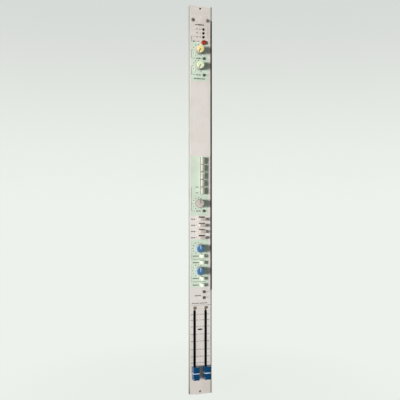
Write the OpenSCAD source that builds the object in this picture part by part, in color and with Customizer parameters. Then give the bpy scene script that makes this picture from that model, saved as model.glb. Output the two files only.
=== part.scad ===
// Narrow control-strip module of an audio desk, with a microphone preamp behind it.
// Millimetres. X runs to the right, Y runs from the front into the module, Z runs up.
// The origin lies on the back of the panels, midway between the two fixing holes.

/* [Panels] */
// Width of the flat face of both panels
face_w = 35.1; // [33:0.1:42]
// Thickness of the panel sheet
panel_t = 2; // [1.5:0.1:2.5]
// Width that the rounded right edge and the side plate add beside the face
edge_w = 3; // [2.1:0.1:3.6]
// Depth of the returns along both sides, from the front of the face
return_d = 8; // [6:0.5:10]
// Thickness of the returns
return_t = 1.5; // [1:0.1:1.8]
// Radius of the fold along the left side
left_fold_r = 0.6; // [0.3:0.1:1.2]
// Gap between the upper panel and the fader panel
split_gap = 0.4; // [0.2:0.1:0.8]
// Clearance round the front edge of the side plate
plate_clear = 0.3; // [0.1:0.1:0.6]
// How far the front edge of the side plate lies behind the face
plate_set_back = 0.4; // [0:0.1:0.8]
// How far the side plate stops below the panel screws' line, or runs above it
plate_above_screws = 0.6; // [0:0.1:3]
// Height of the notch's lower end above the split
plate_above_split = 24; // [20:0.5:30]

/* [Fixing to the desk] */
// Diameter of the two fixing holes
fix_hole_d = 3.4; // [3.2:0.1:4]
// Distance of each fixing hole from the end of its panel
fix_inset = 4.5; // [4:0.1:6]
// Free height at the bottom, behind which the desk's frame lies
foot_free = 28; // [20:0.5:36]

/* [Places down the panel] */
// Top edge to the two panel screws
screw_drop = 23.6; // [23:0.1:30]
// Distance of each panel screw from the centre line
screw_x = 12.7; // [10:0.1:13.5]
// Panel screws to the first lamp
lamp_drop = 14.7; // [13:0.1:20]
// Pitch of the lamps
lamp_pitch = 6.35; // [5:0.05:8]
// Last lamp to the red button's switch
lamp_red_gap = 3.55; // [2:0.05:8]
// Red button's switch to the first knob
red_knob_gap = 2.15; // [1:0.05:4]
// First knob to its button's switch
knob_1_gap = 2.25; // [1:0.05:8]
// That switch to the second knob
black_knob_gap = 1.75; // [1:0.05:4]
// Second knob to its button's switch
knob_2_gap = 3.55; // [1:0.05:8]
// Blank panel between that switch and the bank of five
blank_h = 131.7; // [60:0.1:160]
// Space between the caps of the bank
bank_gap = 1.2; // [0.4:0.1:4]
// Bank to the third knob
bank_knob_gap = 8.35; // [3:0.05:14]
// Third knob to its button's switch
knob_3_gap = 1.55; // [1:0.05:6]
// That switch to the first wide button's switch
black_wide_gap = 5.4; // [1:0.1:9]
// Space between the wide buttons' switches
wide_gap = 2.2; // [1:0.1:5]
// Last wide button's switch to the fourth knob
wide_knob_gap = 6.55; // [1:0.05:12]
// Blue knobs to the switches of the white buttons below them
knob_white_gap = 1.55; // [1:0.05:6]
// Space between the switches of two white buttons
white_gap = 2.8; // [1:0.1:6]
// Second white button's switch to the fifth knob
white_knob_gap = 2.65; // [1:0.05:8]
// Last white button's switch to the fourth black button's
white_black_gap = 4; // [1:0.1:8]
// Space between the last two black buttons' switches
black_gap = 1.5; // [1:0.1:5]
// Last switch to the end of the upper panel
black_split_gap = 7.7; // [7.4:0.1:14]

/* [Places across the panel] */
// Knobs, from the centre line
knob_x = -3; // [-5:0.1:-1]
// Lamps, from the centre line
lamp_x = 5.5; // [4:0.1:6]
// Red button
red_x = 5.9; // [3:0.1:6.5]
// Black buttons, from the right side of the face
black_in = 11.05; // [10.5:0.05:14.5]
// Bank of five
bank_x = 3.6; // [2:0.1:4]
// Wide buttons
wide_x = 2.8; // [2:0.1:3]
// White buttons
white_x = 2.7; // [2:0.1:4]

/* [Knobs] */
// Diameter of the fluted body
knob_d = 13.4; // [11.8:0.1:14]
// How far the skirt stands out beyond the body
skirt_out = 0.25; // [0.1:0.05:0.5]
// Height of the skirt
skirt_h = 1.6; // [1:0.1:2.5]
// Height of the body above its skirt's underside
knob_h = 12; // [10:0.1:15]
// Gap between the skirt and the panel
knob_lift = 0.8; // [0.4:0.1:1.5]
// Number of flutes
flute_count = 24; // [16:1:30]
// Radius of each flute
flute_r = 0.45; // [0.2:0.05:0.6]
// Diameter of the coloured cap
cap_d = 12.2; // [11.6:0.1:13]
// Diameter of the cap's spigot, inside the body
spigot_d = 10; // [8:0.1:10.6]
// Depth of the spigot's seat in the body
cap_seat = 1; // [0.6:0.1:1.5]
// How far the cap stands out of the body
cap_out = 1.4; // [0.8:0.1:2]
// Bevel round the cap's face
cap_bevel = 0.6; // [0.3:0.1:0.8]
// Width of the pointer's groove
pointer_w = 1.2; // [0.8:0.1:2]
// Depth of the pointer's groove
pointer_t = 0.5; // [0.3:0.1:0.7]
// Pointer angle of a control at its minimum, clockwise from the top
pointer_min = -150; // [-160:1:-120]

/* [Rotary controls] */
// Diameter of the shaft
shaft_d = 4; // [3:0.1:4.5]
// Running clearance of the shaft, on the radius
shaft_clear = 0.04; // [0.02:0.01:0.08]
// Length of shaft inside the knob, above the bush
shaft_in_knob = 7; // [5:0.1:8]
// Length of shaft inside the body of the control
shaft_in_pot = 6; // [4:0.1:8]
// Diameter of the threaded bush
bush_d = 6; // [5.6:0.1:6.4]
// Bush length in front of the panel
bush_out = 2.8; // [2.4:0.1:3]
// Nut across its flats
nut_flats = 8; // [7.4:0.1:8.2]
// Nut thickness
nut_t = 2; // [1.5:0.1:2.2]
// Width and height of the control's body
pot_w = 12.5; // [11:0.1:13]
// Depth of the control's body
pot_d = 9; // [8.5:0.1:12]
// Side of each soldered pin
pin_w = 0.9; // [0.6:0.1:1.2]
// Pitch of the soldered pins
pin_pitch = 4; // [2.5:0.1:5]

/* [Push buttons] */
// Height of the rectangular caps above the face
cap_h = 7.5; // [6:0.1:9]
// Height of the red cap above the face
red_h = 4; // [3:0.1:8]
// Height of the small black caps above the face
black_h = 2; // [0.8:0.1:8]
// Diameter of the red cap
red_d = 7.2; // [5:0.1:7.6]
// Diameter of the black caps
black_d = 4.2; // [3.5:0.1:6]
// Width of the bank's caps
bank_w = 4.6; // [3.6:0.1:6]
// Length of the bank's caps
bank_l = 11.2; // [9:0.1:12]
// Width of the wide caps
wide_w = 10.2; // [8:0.1:10.6]
// Height of the wide caps on the panel
wide_l = 4.8; // [3.6:0.1:6]
// Width of the white caps
white_w = 4.8; // [3.6:0.1:6]
// Height of the white caps on the panel
white_l = 5.2; // [3.6:0.1:6]
// Chamfer round the front of the caps
cap_chamfer = 0.5; // [0.2:0.1:0.8]
// Corner radius of the rectangular caps
cap_r = 0.5; // [0.2:0.1:0.8]
// Clearance of each cap in the panel
cap_clear = 0.35; // [0.2:0.05:0.6]
// Length of each cap behind the panel
cap_tail = 1.2; // [0.8:0.1:2]
// Longest travel of a button, which leaves a red or a rectangular cap standing out of the face
button_travel = 3; // [2:0.1:4]
// Free space between a cap pressed home and its switch
switch_clear = 0.8; // [0.4:0.1:2]
// Side of the square plunger
plunger_w = 2; // [1.6:0.1:2.2]
// Clearance of the plunger in its switch
plunger_clear = 0.15; // [0.1:0.05:0.25]
// Gap between the plunger and the socket of its cap
socket_fit = 0.05; // [0.03:0.01:0.1]
// Depth of the socket in each cap
socket_d = 3; // [2:0.1:3.5]
// Plunger length inside the switch at rest
plunger_in = 4; // [3:0.1:6]
// Height of a switch body, along the panel
switch_w = 8; // [7:0.1:8.4]
// Length of a switch body, into the module
switch_l = 22; // [18:0.5:26]
// Switch body beyond the plunger's axis, away from the board
switch_reach = 4; // [3:0.1:5]

/* [Lamps] */
// Diameter of the lamps
lamp_d = 3.3; // [2.8:0.1:3.8]
// How far the lamps stand out of the face
lamp_out = 0.9; // [0.4:0.1:1.5]
// Length of a lamp behind the front edge of the board
lamp_back = 1.3; // [1:0.1:3]
// Clearance of a lamp in the panel, on the radius
lamp_clear = 0.1; // [0.05:0.05:0.3]
// Thickness of the lamp's leads
lead_t = 0.6; // [0.4:0.1:0.8]

/* [Faders] */
// Travel of the faders
fader_travel = 100; // [60:1:110]
// Distance between the centre lines of the two faders
fader_pitch = 19; // [18:0.1:20]
// Width of a fader case
case_w = 10; // [9.4:0.1:10.4]
// Depth of a fader case
case_d = 15; // [14:0.1:16]
// Wall of a fader case
case_wall = 0.8; // [0.6:0.1:1]
// Width of the slots
slot_w = 4.4; // [2.4:0.1:4.8]
// Free length of slot beyond the stem at each end
slot_clear = 0.6; // [0.3:0.1:1.5]
// End of a slot to the centre of its screw
slot_screw = 3.2; // [3:0.1:5]
// Screw to the end of the case
screw_case = 3.6; // [3:0.1:5]
// Case to the top edge of the fader panel
case_drop = 0.8; // [0.4:0.1:3]
// Thickness of the stem
stem_t = 1.2; // [0.8:0.1:1.6]
// Height of the stem along the slot
stem_l = 3; // [2:0.1:4]
// Length of the stem inside its knob
stem_in = 4; // [3:0.1:5]
// Length of the carriage along the rods
carriage_l = 5; // [4:0.1:5.4]
// Free space between the carriage and the case
carriage_clear = 0.4; // [0.3:0.05:0.6]
// Depth of the carriage
carriage_d = 5; // [4:0.1:5.5]
// Diameter of the guide rods
rod_d = 2; // [1.6:0.1:2.4]
// Distance between the two guide rods
rod_pitch = 4.8; // [4.4:0.1:5]
// Running clearance of the rods, on the radius
rod_clear = 0.04; // [0.02:0.01:0.08]
// Width of a fader knob
fader_knob_w = 10.2; // [8:0.1:13]
// Length of a fader knob
fader_knob_l = 21; // [18:0.5:28]
// Height of a fader knob
fader_knob_h = 10.8; // [9:0.1:13]
// Gap under a fader knob
fader_knob_lift = 2.2; // [1.9:0.1:3]
// Depth of the finger hollow
scoop_d = 2; // [1:0.1:3]
// Corner radius of a fader knob
fader_knob_r = 1; // [0.5:0.1:2]

/* [Circuit board] */
// Thickness of the board
board_t = 1.6; // [1.2:0.1:2]
// Length of the spacers between the board and the side plate
spacer_l = 7.7; // [6:0.1:8]
// Diameter of the spacers
spacer_d = 5; // [4.4:0.1:6]
// Front edge of the board, behind a cap that is pressed home
board_front = 0.5; // [0.3:0.1:1]
// Board edges to the nearest row of spacers
spacer_inset = 14; // [10:0.5:20]
// Space between neighbouring columns of parts
part_gap = 0.8; // [0.5:0.1:2]
// Width of a chip body
chip_w = 6.4; // [5:0.1:8]
// Length of a chip body
chip_l = 9.8; // [8:0.1:12]
// Height of a chip body
chip_h = 3.4; // [2.5:0.1:5]
// Pitch of the chips and of the capacitors down the board
part_pitch = 30; // [24:1:40]
// Diameter of a capacitor
capacitor_d = 8; // [6:0.1:10]
// Height of a capacitor
capacitor_h = 11; // [8:0.5:12]
// Width and depth of the input transformer's can
can_w = 20; // [16:0.5:22]
// Height of the input transformer's can above the board
can_h = 10; // [8:0.5:11]
// Length of a rear connector
connector_l = 90; // [60:1:100]
// Height of a rear connector above the board
connector_h = 6; // [4:0.1:7]
// Length of a rear connector on the board
connector_on = 8; // [6:0.1:12]
// Length of a rear connector behind the board
connector_out = 6; // [4:0.1:10]
// Rear connectors, in from the ends of the board
connector_inset = 40; // [30:1:60]
// Thickness of the flat lead
ribbon_t = 1; // [0.6:0.1:1.2]
// Width of the flat lead
ribbon_w = 8; // [6:0.1:10]
// Bend radius of the flat lead
ribbon_r = 8; // [6:0.1:9]

/* [Frame] */
// Height of the top block
block_h = 20; // [16:0.5:20]
// Depth of the top block
block_d = 14; // [13:0.5:20]
// Space between the top block and the returns
block_clear = 0.5; // [0.2:0.1:1]
// Thickness of the joining strap
strap_t = 2; // [1.5:0.1:2.5]
// Width of the strap between the faders
strap_w = 7; // [6:0.1:7.4]
// Clearance of the strap round the black caps
strap_clear = 0.5; // [0.3:0.1:0.8]
// Reach of the strap down behind the fader panel
strap_down = 44; // [40:1:60]
// Reach of the strap up behind the upper panel
strap_up = 20; // [19:0.5:20]
// Height of the strap's arm
arm_h = 6; // [5:0.1:7]
// Depth of the strap's tab along the side plate
tab_d = 26; // [25:0.5:28]
// Diameter of the studs on the back of the panels
stud_d = 3; // [2.5:0.1:3.5]
// Length of the studs
stud_l = 5; // [4.5:0.1:7]
// Nuts of the studs across their flats
stud_nut_flats = 5.5; // [5:0.1:6]
// Thickness of those nuts
stud_nut_t = 2.4; // [1.8:0.1:2.5]

/* [Screws] */
// Diameter of every screw
screw_d = 3; // [2.5:0.1:3.2]
// Clearance of a screw in its hole, on the radius
screw_clear = 0.05; // [0.03:0.01:0.1]
// Diameter of the screw heads on the front
front_head_d = 5.8; // [4.4:0.1:6]
// Diameter of the screw heads on the board
head_d = 5; // [4.4:0.1:5.4]
// Height of the round screw heads
head_h = 1.6; // [1.2:0.1:1.8]
// Driver socket across its flats
socket_flats = 2; // [1.5:0.1:2.5]
// Depth of the driver socket
socket_t = 0.9; // [0.5:0.1:1]
// Diameter of the countersunk heads
sunk_d = 5.6; // [5:0.1:6]
// Height of the countersunk heads
sunk_h = 1.5; // [1.2:0.1:1.8]
// Thread length of the panel and fader screws behind the panels
thread_in = 5; // [4:0.1:7]
// Thread length of the side and board screws
thread_side = 3; // [2.5:0.1:3.4]

/* [Hidden] */
$fn = 48;
hex_n = 6;
eps = 0.01;
knob_count = 5;
black_count = 5;
bank_count = 5;
wide_count = 4;
white_count = 4;
fader_count = 2;
lamp_count = 3;
spacer_rows = 3;

// Front, sides and plate
front_y = -panel_t;
face_x = face_w / 2;
black_x = face_x - black_in;
edge_x = face_x + edge_w;
return_y = return_d - panel_t;

// Space that each control takes down the panel
half_knob = max(pot_w, knob_d + 2 * skirt_out) / 2;
half_switch = max(switch_w, red_d, black_d) / 2;
half_wide = max(switch_w, wide_l) / 2;
half_white = max(switch_w, white_l) / 2;
bank_pitch = bank_l + bank_gap;
wide_pitch = 2 * half_wide + wide_gap;
white_pitch = 2 * half_white + white_gap;

// Distances below the top edge
drop_lamp = screw_drop + lamp_drop;
drop_red = drop_lamp + (lamp_count - 1) * lamp_pitch + lamp_d / 2 + lamp_red_gap + half_switch;
drop_knob_1 = drop_red + half_switch + red_knob_gap + half_knob;
drop_black_1 = drop_knob_1 + half_knob + knob_1_gap + half_switch;
drop_knob_2 = drop_black_1 + half_switch + black_knob_gap + half_knob;
drop_black_2 = drop_knob_2 + half_knob + knob_2_gap + half_switch;
drop_bank = drop_black_2 + half_switch + blank_h + bank_l / 2;
drop_knob_3 = drop_bank + (bank_count - 1) * bank_pitch + bank_l / 2 + bank_knob_gap + half_knob;
drop_black_3 = drop_knob_3 + half_knob + knob_3_gap + half_switch;
drop_wide = drop_black_3 + half_switch + black_wide_gap + half_wide;
drop_knob_4 = drop_wide + (wide_count - 1) * wide_pitch + half_wide + wide_knob_gap + half_knob;
drop_white_1 = drop_knob_4 + half_knob + knob_white_gap + half_white;
drop_white_2 = drop_white_1 + white_pitch;
drop_knob_5 = drop_white_2 + half_white + white_knob_gap + half_knob;
drop_white_3 = drop_knob_5 + half_knob + knob_white_gap + half_white;
drop_white_4 = drop_white_3 + white_pitch;
drop_black_4 = drop_white_4 + half_white + white_black_gap + half_switch;
drop_black_5 = drop_black_4 + 2 * half_switch + black_gap;
upper_h = drop_black_5 + half_switch + black_split_gap;

// Fader lengths
stem_y = front_y - fader_knob_lift - stem_in;
slot_l = fader_travel + stem_l + 2 * slot_clear;
fader_screw_half = slot_l / 2 + slot_screw;
case_half = fader_screw_half + screw_case;
cavity_half = fader_travel / 2 + carriage_l / 2 + carriage_clear;
lower_h = case_drop + 2 * case_half + foot_free;

// Heights
module_h = upper_h + split_gap + lower_h;
top_z = module_h / 2;
bottom_z = -module_h / 2;
upper_z = top_z - upper_h;
lower_z = bottom_z + lower_h;
fix_z = top_z - fix_inset;
screw_z = top_z - screw_drop;
knob_z = [for (d = [drop_knob_1, drop_knob_2, drop_knob_3, drop_knob_4, drop_knob_5]) top_z - d];
black_z = [for (d = [drop_black_1, drop_black_2, drop_black_3, drop_black_4, drop_black_5]) top_z - d];
white_z = [for (d = [drop_white_1, drop_white_2, drop_white_3, drop_white_4]) top_z - d];
bank_z = [for (i = [0 : bank_count - 1]) top_z - drop_bank - i * bank_pitch];
wide_z = [for (i = [0 : wide_count - 1]) top_z - drop_wide - i * wide_pitch];
lamp_z = [for (i = [0 : lamp_count - 1]) top_z - drop_lamp - i * lamp_pitch];
red_z = top_z - drop_red;
bank_mid_z = (bank_z[0] + bank_z[bank_count - 1]) / 2;
bank_span = (bank_count - 1) * bank_pitch + bank_l;
notch_top_z = screw_z + plate_above_screws;
notch_low_z = upper_z + plate_above_split;

// Pointer of each knob at rest, clockwise from the top
pointer_deg = [pointer_min, pointer_min, 0, 0, 0];

// Depths
board_y = cap_tail + button_travel + board_front;
lamp_end_y = board_y + lamp_back;
switch_y = cap_tail + button_travel + switch_clear;
switch_end_y = switch_y + switch_l;
front_spacer_y = switch_end_y + part_gap + head_d / 2;
chip_y = front_spacer_y + head_d / 2 + part_gap + chip_w / 2;
capacitor_y = chip_y + chip_w / 2 + part_gap + capacitor_d / 2;
rear_spacer_y = capacitor_y + capacitor_d / 2 + part_gap + head_d / 2;
connector_y = rear_spacer_y + head_d / 2 + part_gap;
board_end_y = connector_y + connector_on;
plate_end_y = board_end_y + 2 * part_gap;
tail_y = case_d + ribbon_r + ribbon_t / 2;

// Board
board_x = face_x - spacer_l - board_t;
block_top_z = screw_z + block_h / 2;
block_low_z = screw_z - block_h / 2;
board_top_z = block_low_z - part_gap;
board_low_z = upper_z + arm_h + part_gap;
spacer_z = [for (i = [0 : spacer_rows - 1])
    board_top_z - spacer_inset - i * (board_top_z - board_low_z - 2 * spacer_inset) / (spacer_rows - 1)];
spacer_y = [front_spacer_y, rear_spacer_y];
part_count = floor((board_top_z - board_low_z - 2 * spacer_inset) / part_pitch) + 1;
connector_in = connector_inset + connector_l / 2;
connector_z = [board_top_z - connector_in, board_low_z + connector_in];

// Knob heights, as distances in front of the panels' back
skirt_y = front_y - knob_lift;
knob_top_y = skirt_y - knob_h;
cap_y = knob_top_y - cap_out;
shaft_y = front_y - bush_out - shaft_in_knob;
nut_clear = 0.5;
recess_r = nut_flats / sqrt(3) + nut_clear;
cap_fit = 0.05;

// Faders
fader_x = [-fader_pitch / 2, fader_pitch / 2];
fader_z = lower_z - case_drop - case_half;
fader_rest_z = fader_z - fader_travel / 2;
fader_screw_z = [fader_z + fader_screw_half, fader_z - fader_screw_half];
carriage_y = case_d - case_wall - carriage_clear - carriage_d;
rod_y = carriage_y + carriage_d / 2;
rod_half = case_half - case_wall;
lead_z = fader_z + case_half - 2 * case_wall - ribbon_w;

// Strap
strap_top_z = upper_z + strap_up;
strap_low_z = lower_z - strap_down;
stud_z = [upper_z + strap_up - stud_nut_flats, upper_z + arm_h / 2, lower_z - case_drop - 2 * arm_h,
    strap_low_z + stud_nut_flats];
tab_screw_z = upper_z + strap_up / 2;
tab_screw_y = [(tab_d + return_y) / 2 - head_d, (tab_d + return_y) / 2 + head_d];
block_screw_y = [block_d / 2 - head_d / 2 - part_gap, block_d / 2 + head_d / 2 + part_gap];
block_screw_z = (block_low_z + notch_top_z) / 2;

function numbered(name, count) = [for (i = [1 : count]) str(name, "_", i)];

// Box between two corners
module slab(low, high) {
    translate(low) cube(high - low);
}

// Round bar along Y
module bar_y(x, z, d, y0, y1) {
    translate([x, y0, z]) rotate([-90, 0, 0]) cylinder(d = d, h = y1 - y0);
}

// Round bar along X
module bar_x(y, z, d, x0, x1) {
    translate([x0, y, z]) rotate([0, 90, 0]) cylinder(d = d, h = x1 - x0);
}

// Hexagonal bar along Y, with flats at the top and bottom
module hex_y(x, z, flats, y0, y1) {
    translate([x, y0, z]) rotate([-90, 0, 0]) cylinder(d = flats / cos(30), h = y1 - y0, $fn = hex_n);
}

// Rectangle with round corners
module rounded(w, l, r) {
    square([w - 2 * r, l], center = true);
    square([w, l - 2 * r], center = true);
    for (x = [-1, 1], y = [-1, 1]) translate([x * (w / 2 - r), y * (l / 2 - r)]) circle(r = r);
}

// Rounded rectangle carried along Y
module pad_y(x, z, w, l, r, y0, y1) {
    translate([x, y0, z]) rotate([-90, 0, 0]) linear_extrude(y1 - y0) rounded(w, l, r);
}

// Section of a panel: a face with a tight fold on the left and a round one on the right
module panel_section() {
    difference() {
        union() {
            translate([-face_x + left_fold_r, front_y])
                square([face_w - left_fold_r + eps, return_d]);
            translate([-face_x, front_y + left_fold_r])
                square([face_w, return_d - left_fold_r]);
            translate([-face_x + left_fold_r, front_y + left_fold_r]) circle(r = left_fold_r);
            translate([face_x, front_y + edge_w]) square([edge_w, return_d - edge_w]);
            intersection() {
                translate([face_x, front_y + edge_w]) circle(r = edge_w);
                translate([face_x, front_y]) square([edge_w, edge_w + eps]);
            }
        }
        translate([-face_x + return_t, 0]) square([face_w + edge_w - 2 * return_t, return_d]);
    }
}

// Stud on the back of a panel
module stud(z) {
    bar_y(0, z, stud_d, -eps, stud_l);
}

module front_panel() {
    color("#ddd6d0") difference() {
        union() {
            difference() {
                translate([0, 0, upper_z]) linear_extrude(upper_h) panel_section();
                slab([face_x, front_y - eps, notch_low_z], [edge_x + eps, return_d, notch_top_z]);
            }
            for (i = [0, 1]) stud(stud_z[i]);
        }
        bar_y(0, fix_z, fix_hole_d, front_y - eps, eps);
        for (x = [-screw_x, screw_x]) bar_y(x, screw_z, screw_d + 2 * screw_clear, front_y - eps, eps);
        for (z = lamp_z) bar_y(lamp_x, z, lamp_d + 2 * lamp_clear, front_y - eps, eps);
        for (z = knob_z) bar_y(knob_x, z, bush_d + 2 * screw_clear, front_y - eps, eps);
        bar_y(red_x, red_z, red_d + 2 * cap_clear, front_y - eps, eps);
        for (z = black_z) bar_y(black_x, z, black_d + 2 * cap_clear, front_y - eps, eps);
        panel_window(bank_x, bank_mid_z, bank_w, bank_span);
        for (z = wide_z) panel_window(wide_x, z, wide_w, wide_l);
        for (z = white_z) panel_window(white_x, z, white_w, white_l);
    }
}

// Cut-out for a rectangular cap
module panel_window(x, z, w, l) {
    pad_y(x, z, w + 2 * cap_clear, l + 2 * cap_clear, cap_r + cap_clear, front_y - eps, eps);
}

module fader_panel() {
    color("#d2cbc4") difference() {
        union() {
            translate([0, 0, bottom_z]) linear_extrude(lower_h) panel_section();
            for (i = [2, 3]) stud(stud_z[i]);
        }
        bar_y(0, -fix_z, fix_hole_d, front_y - eps, eps);
        for (x = fader_x) {
            pad_y(x, fader_z, slot_w, slot_l, slot_w / 2 - eps, front_y - eps, eps);
            for (z = fader_screw_z) bar_y(x, z, screw_d + 2 * screw_clear, front_y - eps, eps);
        }
    }
}

// Countersunk hole from the right face of the side plate
module sunk_hole(y, z) {
    bar_x(y, z, screw_d + 2 * screw_clear, face_x - eps, edge_x + eps);
    translate([edge_x - sunk_h, y, z]) rotate([0, 90, 0])
        cylinder(d1 = screw_d + 2 * screw_clear, d2 = sunk_d + 2 * screw_clear, h = sunk_h);
}

module side_plate() {
    color("#2b2b29") difference() {
        union() {
            slab([face_x, front_y + plate_set_back, notch_low_z + plate_clear],
                [edge_x, plate_end_y, notch_top_z - plate_clear]);
            slab([face_x, return_y + plate_clear, upper_z], [edge_x, plate_end_y, block_top_z]);
        }
        for (y = spacer_y, z = spacer_z) sunk_hole(y, z);
        for (y = tab_screw_y) sunk_hole(y, tab_screw_z);
        for (y = block_screw_y) sunk_hole(y, block_screw_z);
    }
}

module top_block() {
    color("#a9aaa6") difference() {
        slab([-face_x + return_t + block_clear, 0, block_low_z], [face_x, block_d, block_top_z]);
        for (x = [-screw_x, screw_x])
            bar_y(x, screw_z, screw_d + 2 * screw_clear, -eps, thread_in + block_clear);
        for (y = block_screw_y)
            bar_x(y, block_screw_z, screw_d + 2 * screw_clear,
                face_x - thread_side - block_clear, face_x + eps);
    }
}

module joining_strap() {
    color("#b4b6b3") difference() {
        union() {
            slab([-strap_w / 2, 0, strap_low_z], [strap_w / 2, strap_t, strap_top_z]);
            slab([0, 0, upper_z], [face_x, strap_t, upper_z + arm_h]);
            slab([face_x - strap_t, 0, upper_z], [face_x, tab_d, strap_top_z]);
        }
        for (z = stud_z) bar_y(0, z, stud_d + 2 * screw_clear, -eps, strap_t + eps);
        for (z = black_z) bar_y(black_x, z, black_d + 2 * strap_clear, -eps, strap_t + eps);
        for (y = tab_screw_y)
            bar_x(y, tab_screw_z, screw_d + 2 * screw_clear, face_x - strap_t - eps, face_x + eps);
    }
}

module strap_nuts() {
    color("#c9cbc8") for (z = stud_z) difference() {
        hex_y(0, z, stud_nut_flats, strap_t, strap_t + stud_nut_t);
        bar_y(0, z, stud_d + 2 * screw_clear, strap_t - eps, strap_t + stud_nut_t + eps);
    }
}

module main_board() {
    color("#2f5c3c") difference() {
        union() {
            slab([board_x, board_y, board_low_z], [board_x + board_t, board_end_y, board_top_z]);
            slab([board_x, case_d + part_gap, lead_z - part_gap],
                [board_x + board_t, chip_y, board_low_z + eps]);
        }
        for (y = spacer_y, z = spacer_z)
            bar_x(y, z, screw_d + 2 * screw_clear, board_x - eps, board_x + board_t + eps);
    }
}

module board_spacers() {
    color("#c9cbc8") for (y = spacer_y, z = spacer_z) difference() {
        bar_x(y, z, spacer_d, board_x + board_t, face_x);
        bar_x(y, z, screw_d + 2 * screw_clear, board_x, face_x + eps);
    }
}

// Countersunk screw through the side plate
module sunk_screw(y, z) {
    bar_x(y, z, screw_d, face_x - thread_side, edge_x - sunk_h + eps);
    translate([edge_x - sunk_h, y, z]) rotate([0, 90, 0]) cylinder(d1 = screw_d, d2 = sunk_d, h = sunk_h);
}

// Round-headed screw through the board into a spacer
module board_screw(y, z) {
    bar_x(y, z, head_d, board_x - head_h, board_x);
    bar_x(y, z, screw_d, board_x - eps, board_x + board_t + thread_side);
}

module chassis_screws() {
    color("#b9bbb8") {
        for (y = spacer_y, z = spacer_z) {
            sunk_screw(y, z);
            board_screw(y, z);
        }
        for (y = tab_screw_y) sunk_screw(y, tab_screw_z);
        for (y = block_screw_y) sunk_screw(y, block_screw_z);
    }
}

// Round-headed screw through a panel, with a six-sided socket
module front_screw(x, z) {
    difference() {
        union() {
            bar_y(x, z, front_head_d, front_y - head_h, front_y);
            bar_y(x, z, screw_d, front_y - eps, thread_in);
        }
        hex_y(x, z, socket_flats, front_y - head_h - eps, front_y - head_h + socket_t);
    }
}

module panel_screws() {
    color("#5f594d") for (x = [-screw_x, screw_x]) front_screw(x, screw_z);
}

module fader_screws() {
    color("#80766b") for (x = fader_x, z = fader_screw_z) front_screw(x, z);
}

module lamps() {
    lens_y = front_y - lamp_out + lamp_d / 2;
    color("#1f1e1b") for (z = lamp_z) {
        bar_y(lamp_x, z, lamp_d, lens_y, lamp_end_y);
        translate([lamp_x, lens_y, z]) sphere(d = lamp_d);
        for (s = [-1, 1])
            slab([lamp_x, lamp_end_y - lead_t, z + s * lamp_d / 4 - lead_t / 2],
                [board_x, lamp_end_y, z + s * lamp_d / 4 + lead_t / 2]);
    }
}

module pot_bodies() {
    color("#8f928f") for (z = knob_z) {
        difference() {
            union() {
                slab([knob_x - pot_w / 2, 0, z - pot_w / 2], [knob_x + pot_w / 2, pot_d, z + pot_w / 2]);
                bar_y(knob_x, z, bush_d, front_y - bush_out, eps);
                for (i = [-1 : 1])
                    slab([knob_x, pot_d - 2 * pin_w, z + i * pin_pitch - pin_w / 2],
                        [board_x, pot_d - pin_w, z + i * pin_pitch + pin_w / 2]);
            }
            bar_y(knob_x, z, shaft_d + 2 * shaft_clear, front_y - bush_out - eps,
                shaft_in_pot + shaft_clear);
        }
        difference() {
            hex_y(knob_x, z, nut_flats, front_y - nut_t, front_y);
            bar_y(knob_x, z, bush_d + 2 * screw_clear, front_y - nut_t - eps, front_y + eps);
        }
    }
}

// Square passage for a plunger
module plunger_way(x, z) {
    way = plunger_w / 2 + plunger_clear;
    slab([x - way, switch_y - eps, z - way],
        [x + way, switch_y + plunger_in + button_travel + switch_clear, z + way]);
}

// Body of one push switch, soldered to the board
module switch_body(x, z) {
    difference() {
        slab([x - switch_reach, switch_y, z - switch_w / 2], [board_x, switch_end_y, z + switch_w / 2]);
        plunger_way(x, z);
    }
}

module switch_bodies() {
    color("#34495a") {
        switch_body(red_x, red_z);
        for (z = black_z) switch_body(black_x, z);
        for (z = wide_z) switch_body(wide_x, z);
        for (z = white_z) switch_body(white_x, z);
    }
}

module bank_switch() {
    color("#9a9d9b") difference() {
        slab([bank_x - switch_reach, switch_y, bank_mid_z - bank_span / 2],
            [board_x, switch_end_y, bank_mid_z + bank_span / 2]);
        for (z = bank_z) plunger_way(bank_x, z);
    }
}

// Plunger of one push switch, up into the socket of its cap
module plunger(x, z) {
    slab([x - plunger_w / 2, cap_tail - socket_d + socket_fit, z - plunger_w / 2],
        [x + plunger_w / 2, switch_y + plunger_in, z + plunger_w / 2]);
}

// Socket in the back of a cap
module cap_socket(x, z) {
    side = plunger_w / 2 + socket_fit;
    slab([x - side, cap_tail - socket_d, z - side], [x + side, cap_tail + eps, z + side]);
}

// Round cap with a chamfered front, on its plunger
module round_button(x, z, d, h, tint) {
    color(tint) {
        difference() {
            union() {
                bar_y(x, z, d, front_y - h + cap_chamfer, cap_tail);
                translate([x, front_y - h, z]) rotate([-90, 0, 0])
                    cylinder(d1 = d - 2 * cap_chamfer, d2 = d, h = cap_chamfer);
            }
            cap_socket(x, z);
        }
        plunger(x, z);
    }
}

// Outline of a cap's side, with both front corners cut
module cap_side(w) {
    depth = cap_h + panel_t + cap_tail;
    polygon([[-w / 2 + cap_chamfer, 0], [w / 2 - cap_chamfer, 0], [w / 2, cap_chamfer],
        [w / 2, depth], [-w / 2, depth], [-w / 2, cap_chamfer]]);
}

// Rectangular cap with a chamfered front, on its plunger
module square_button(x, z, w, l, tint) {
    color(tint) {
        difference() {
            intersection() {
                pad_y(x, z, w, l, cap_r, front_y - cap_h, cap_tail);
                translate([x, front_y - cap_h, z - l]) linear_extrude(2 * l) cap_side(w);
                translate([x - w, front_y - cap_h, z]) rotate([90, 0, 90]) linear_extrude(2 * w)
                    rotate(-90) mirror([1, 0]) cap_side(l);
            }
            cap_socket(x, z);
        }
        plunger(x, z);
    }
}

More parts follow.
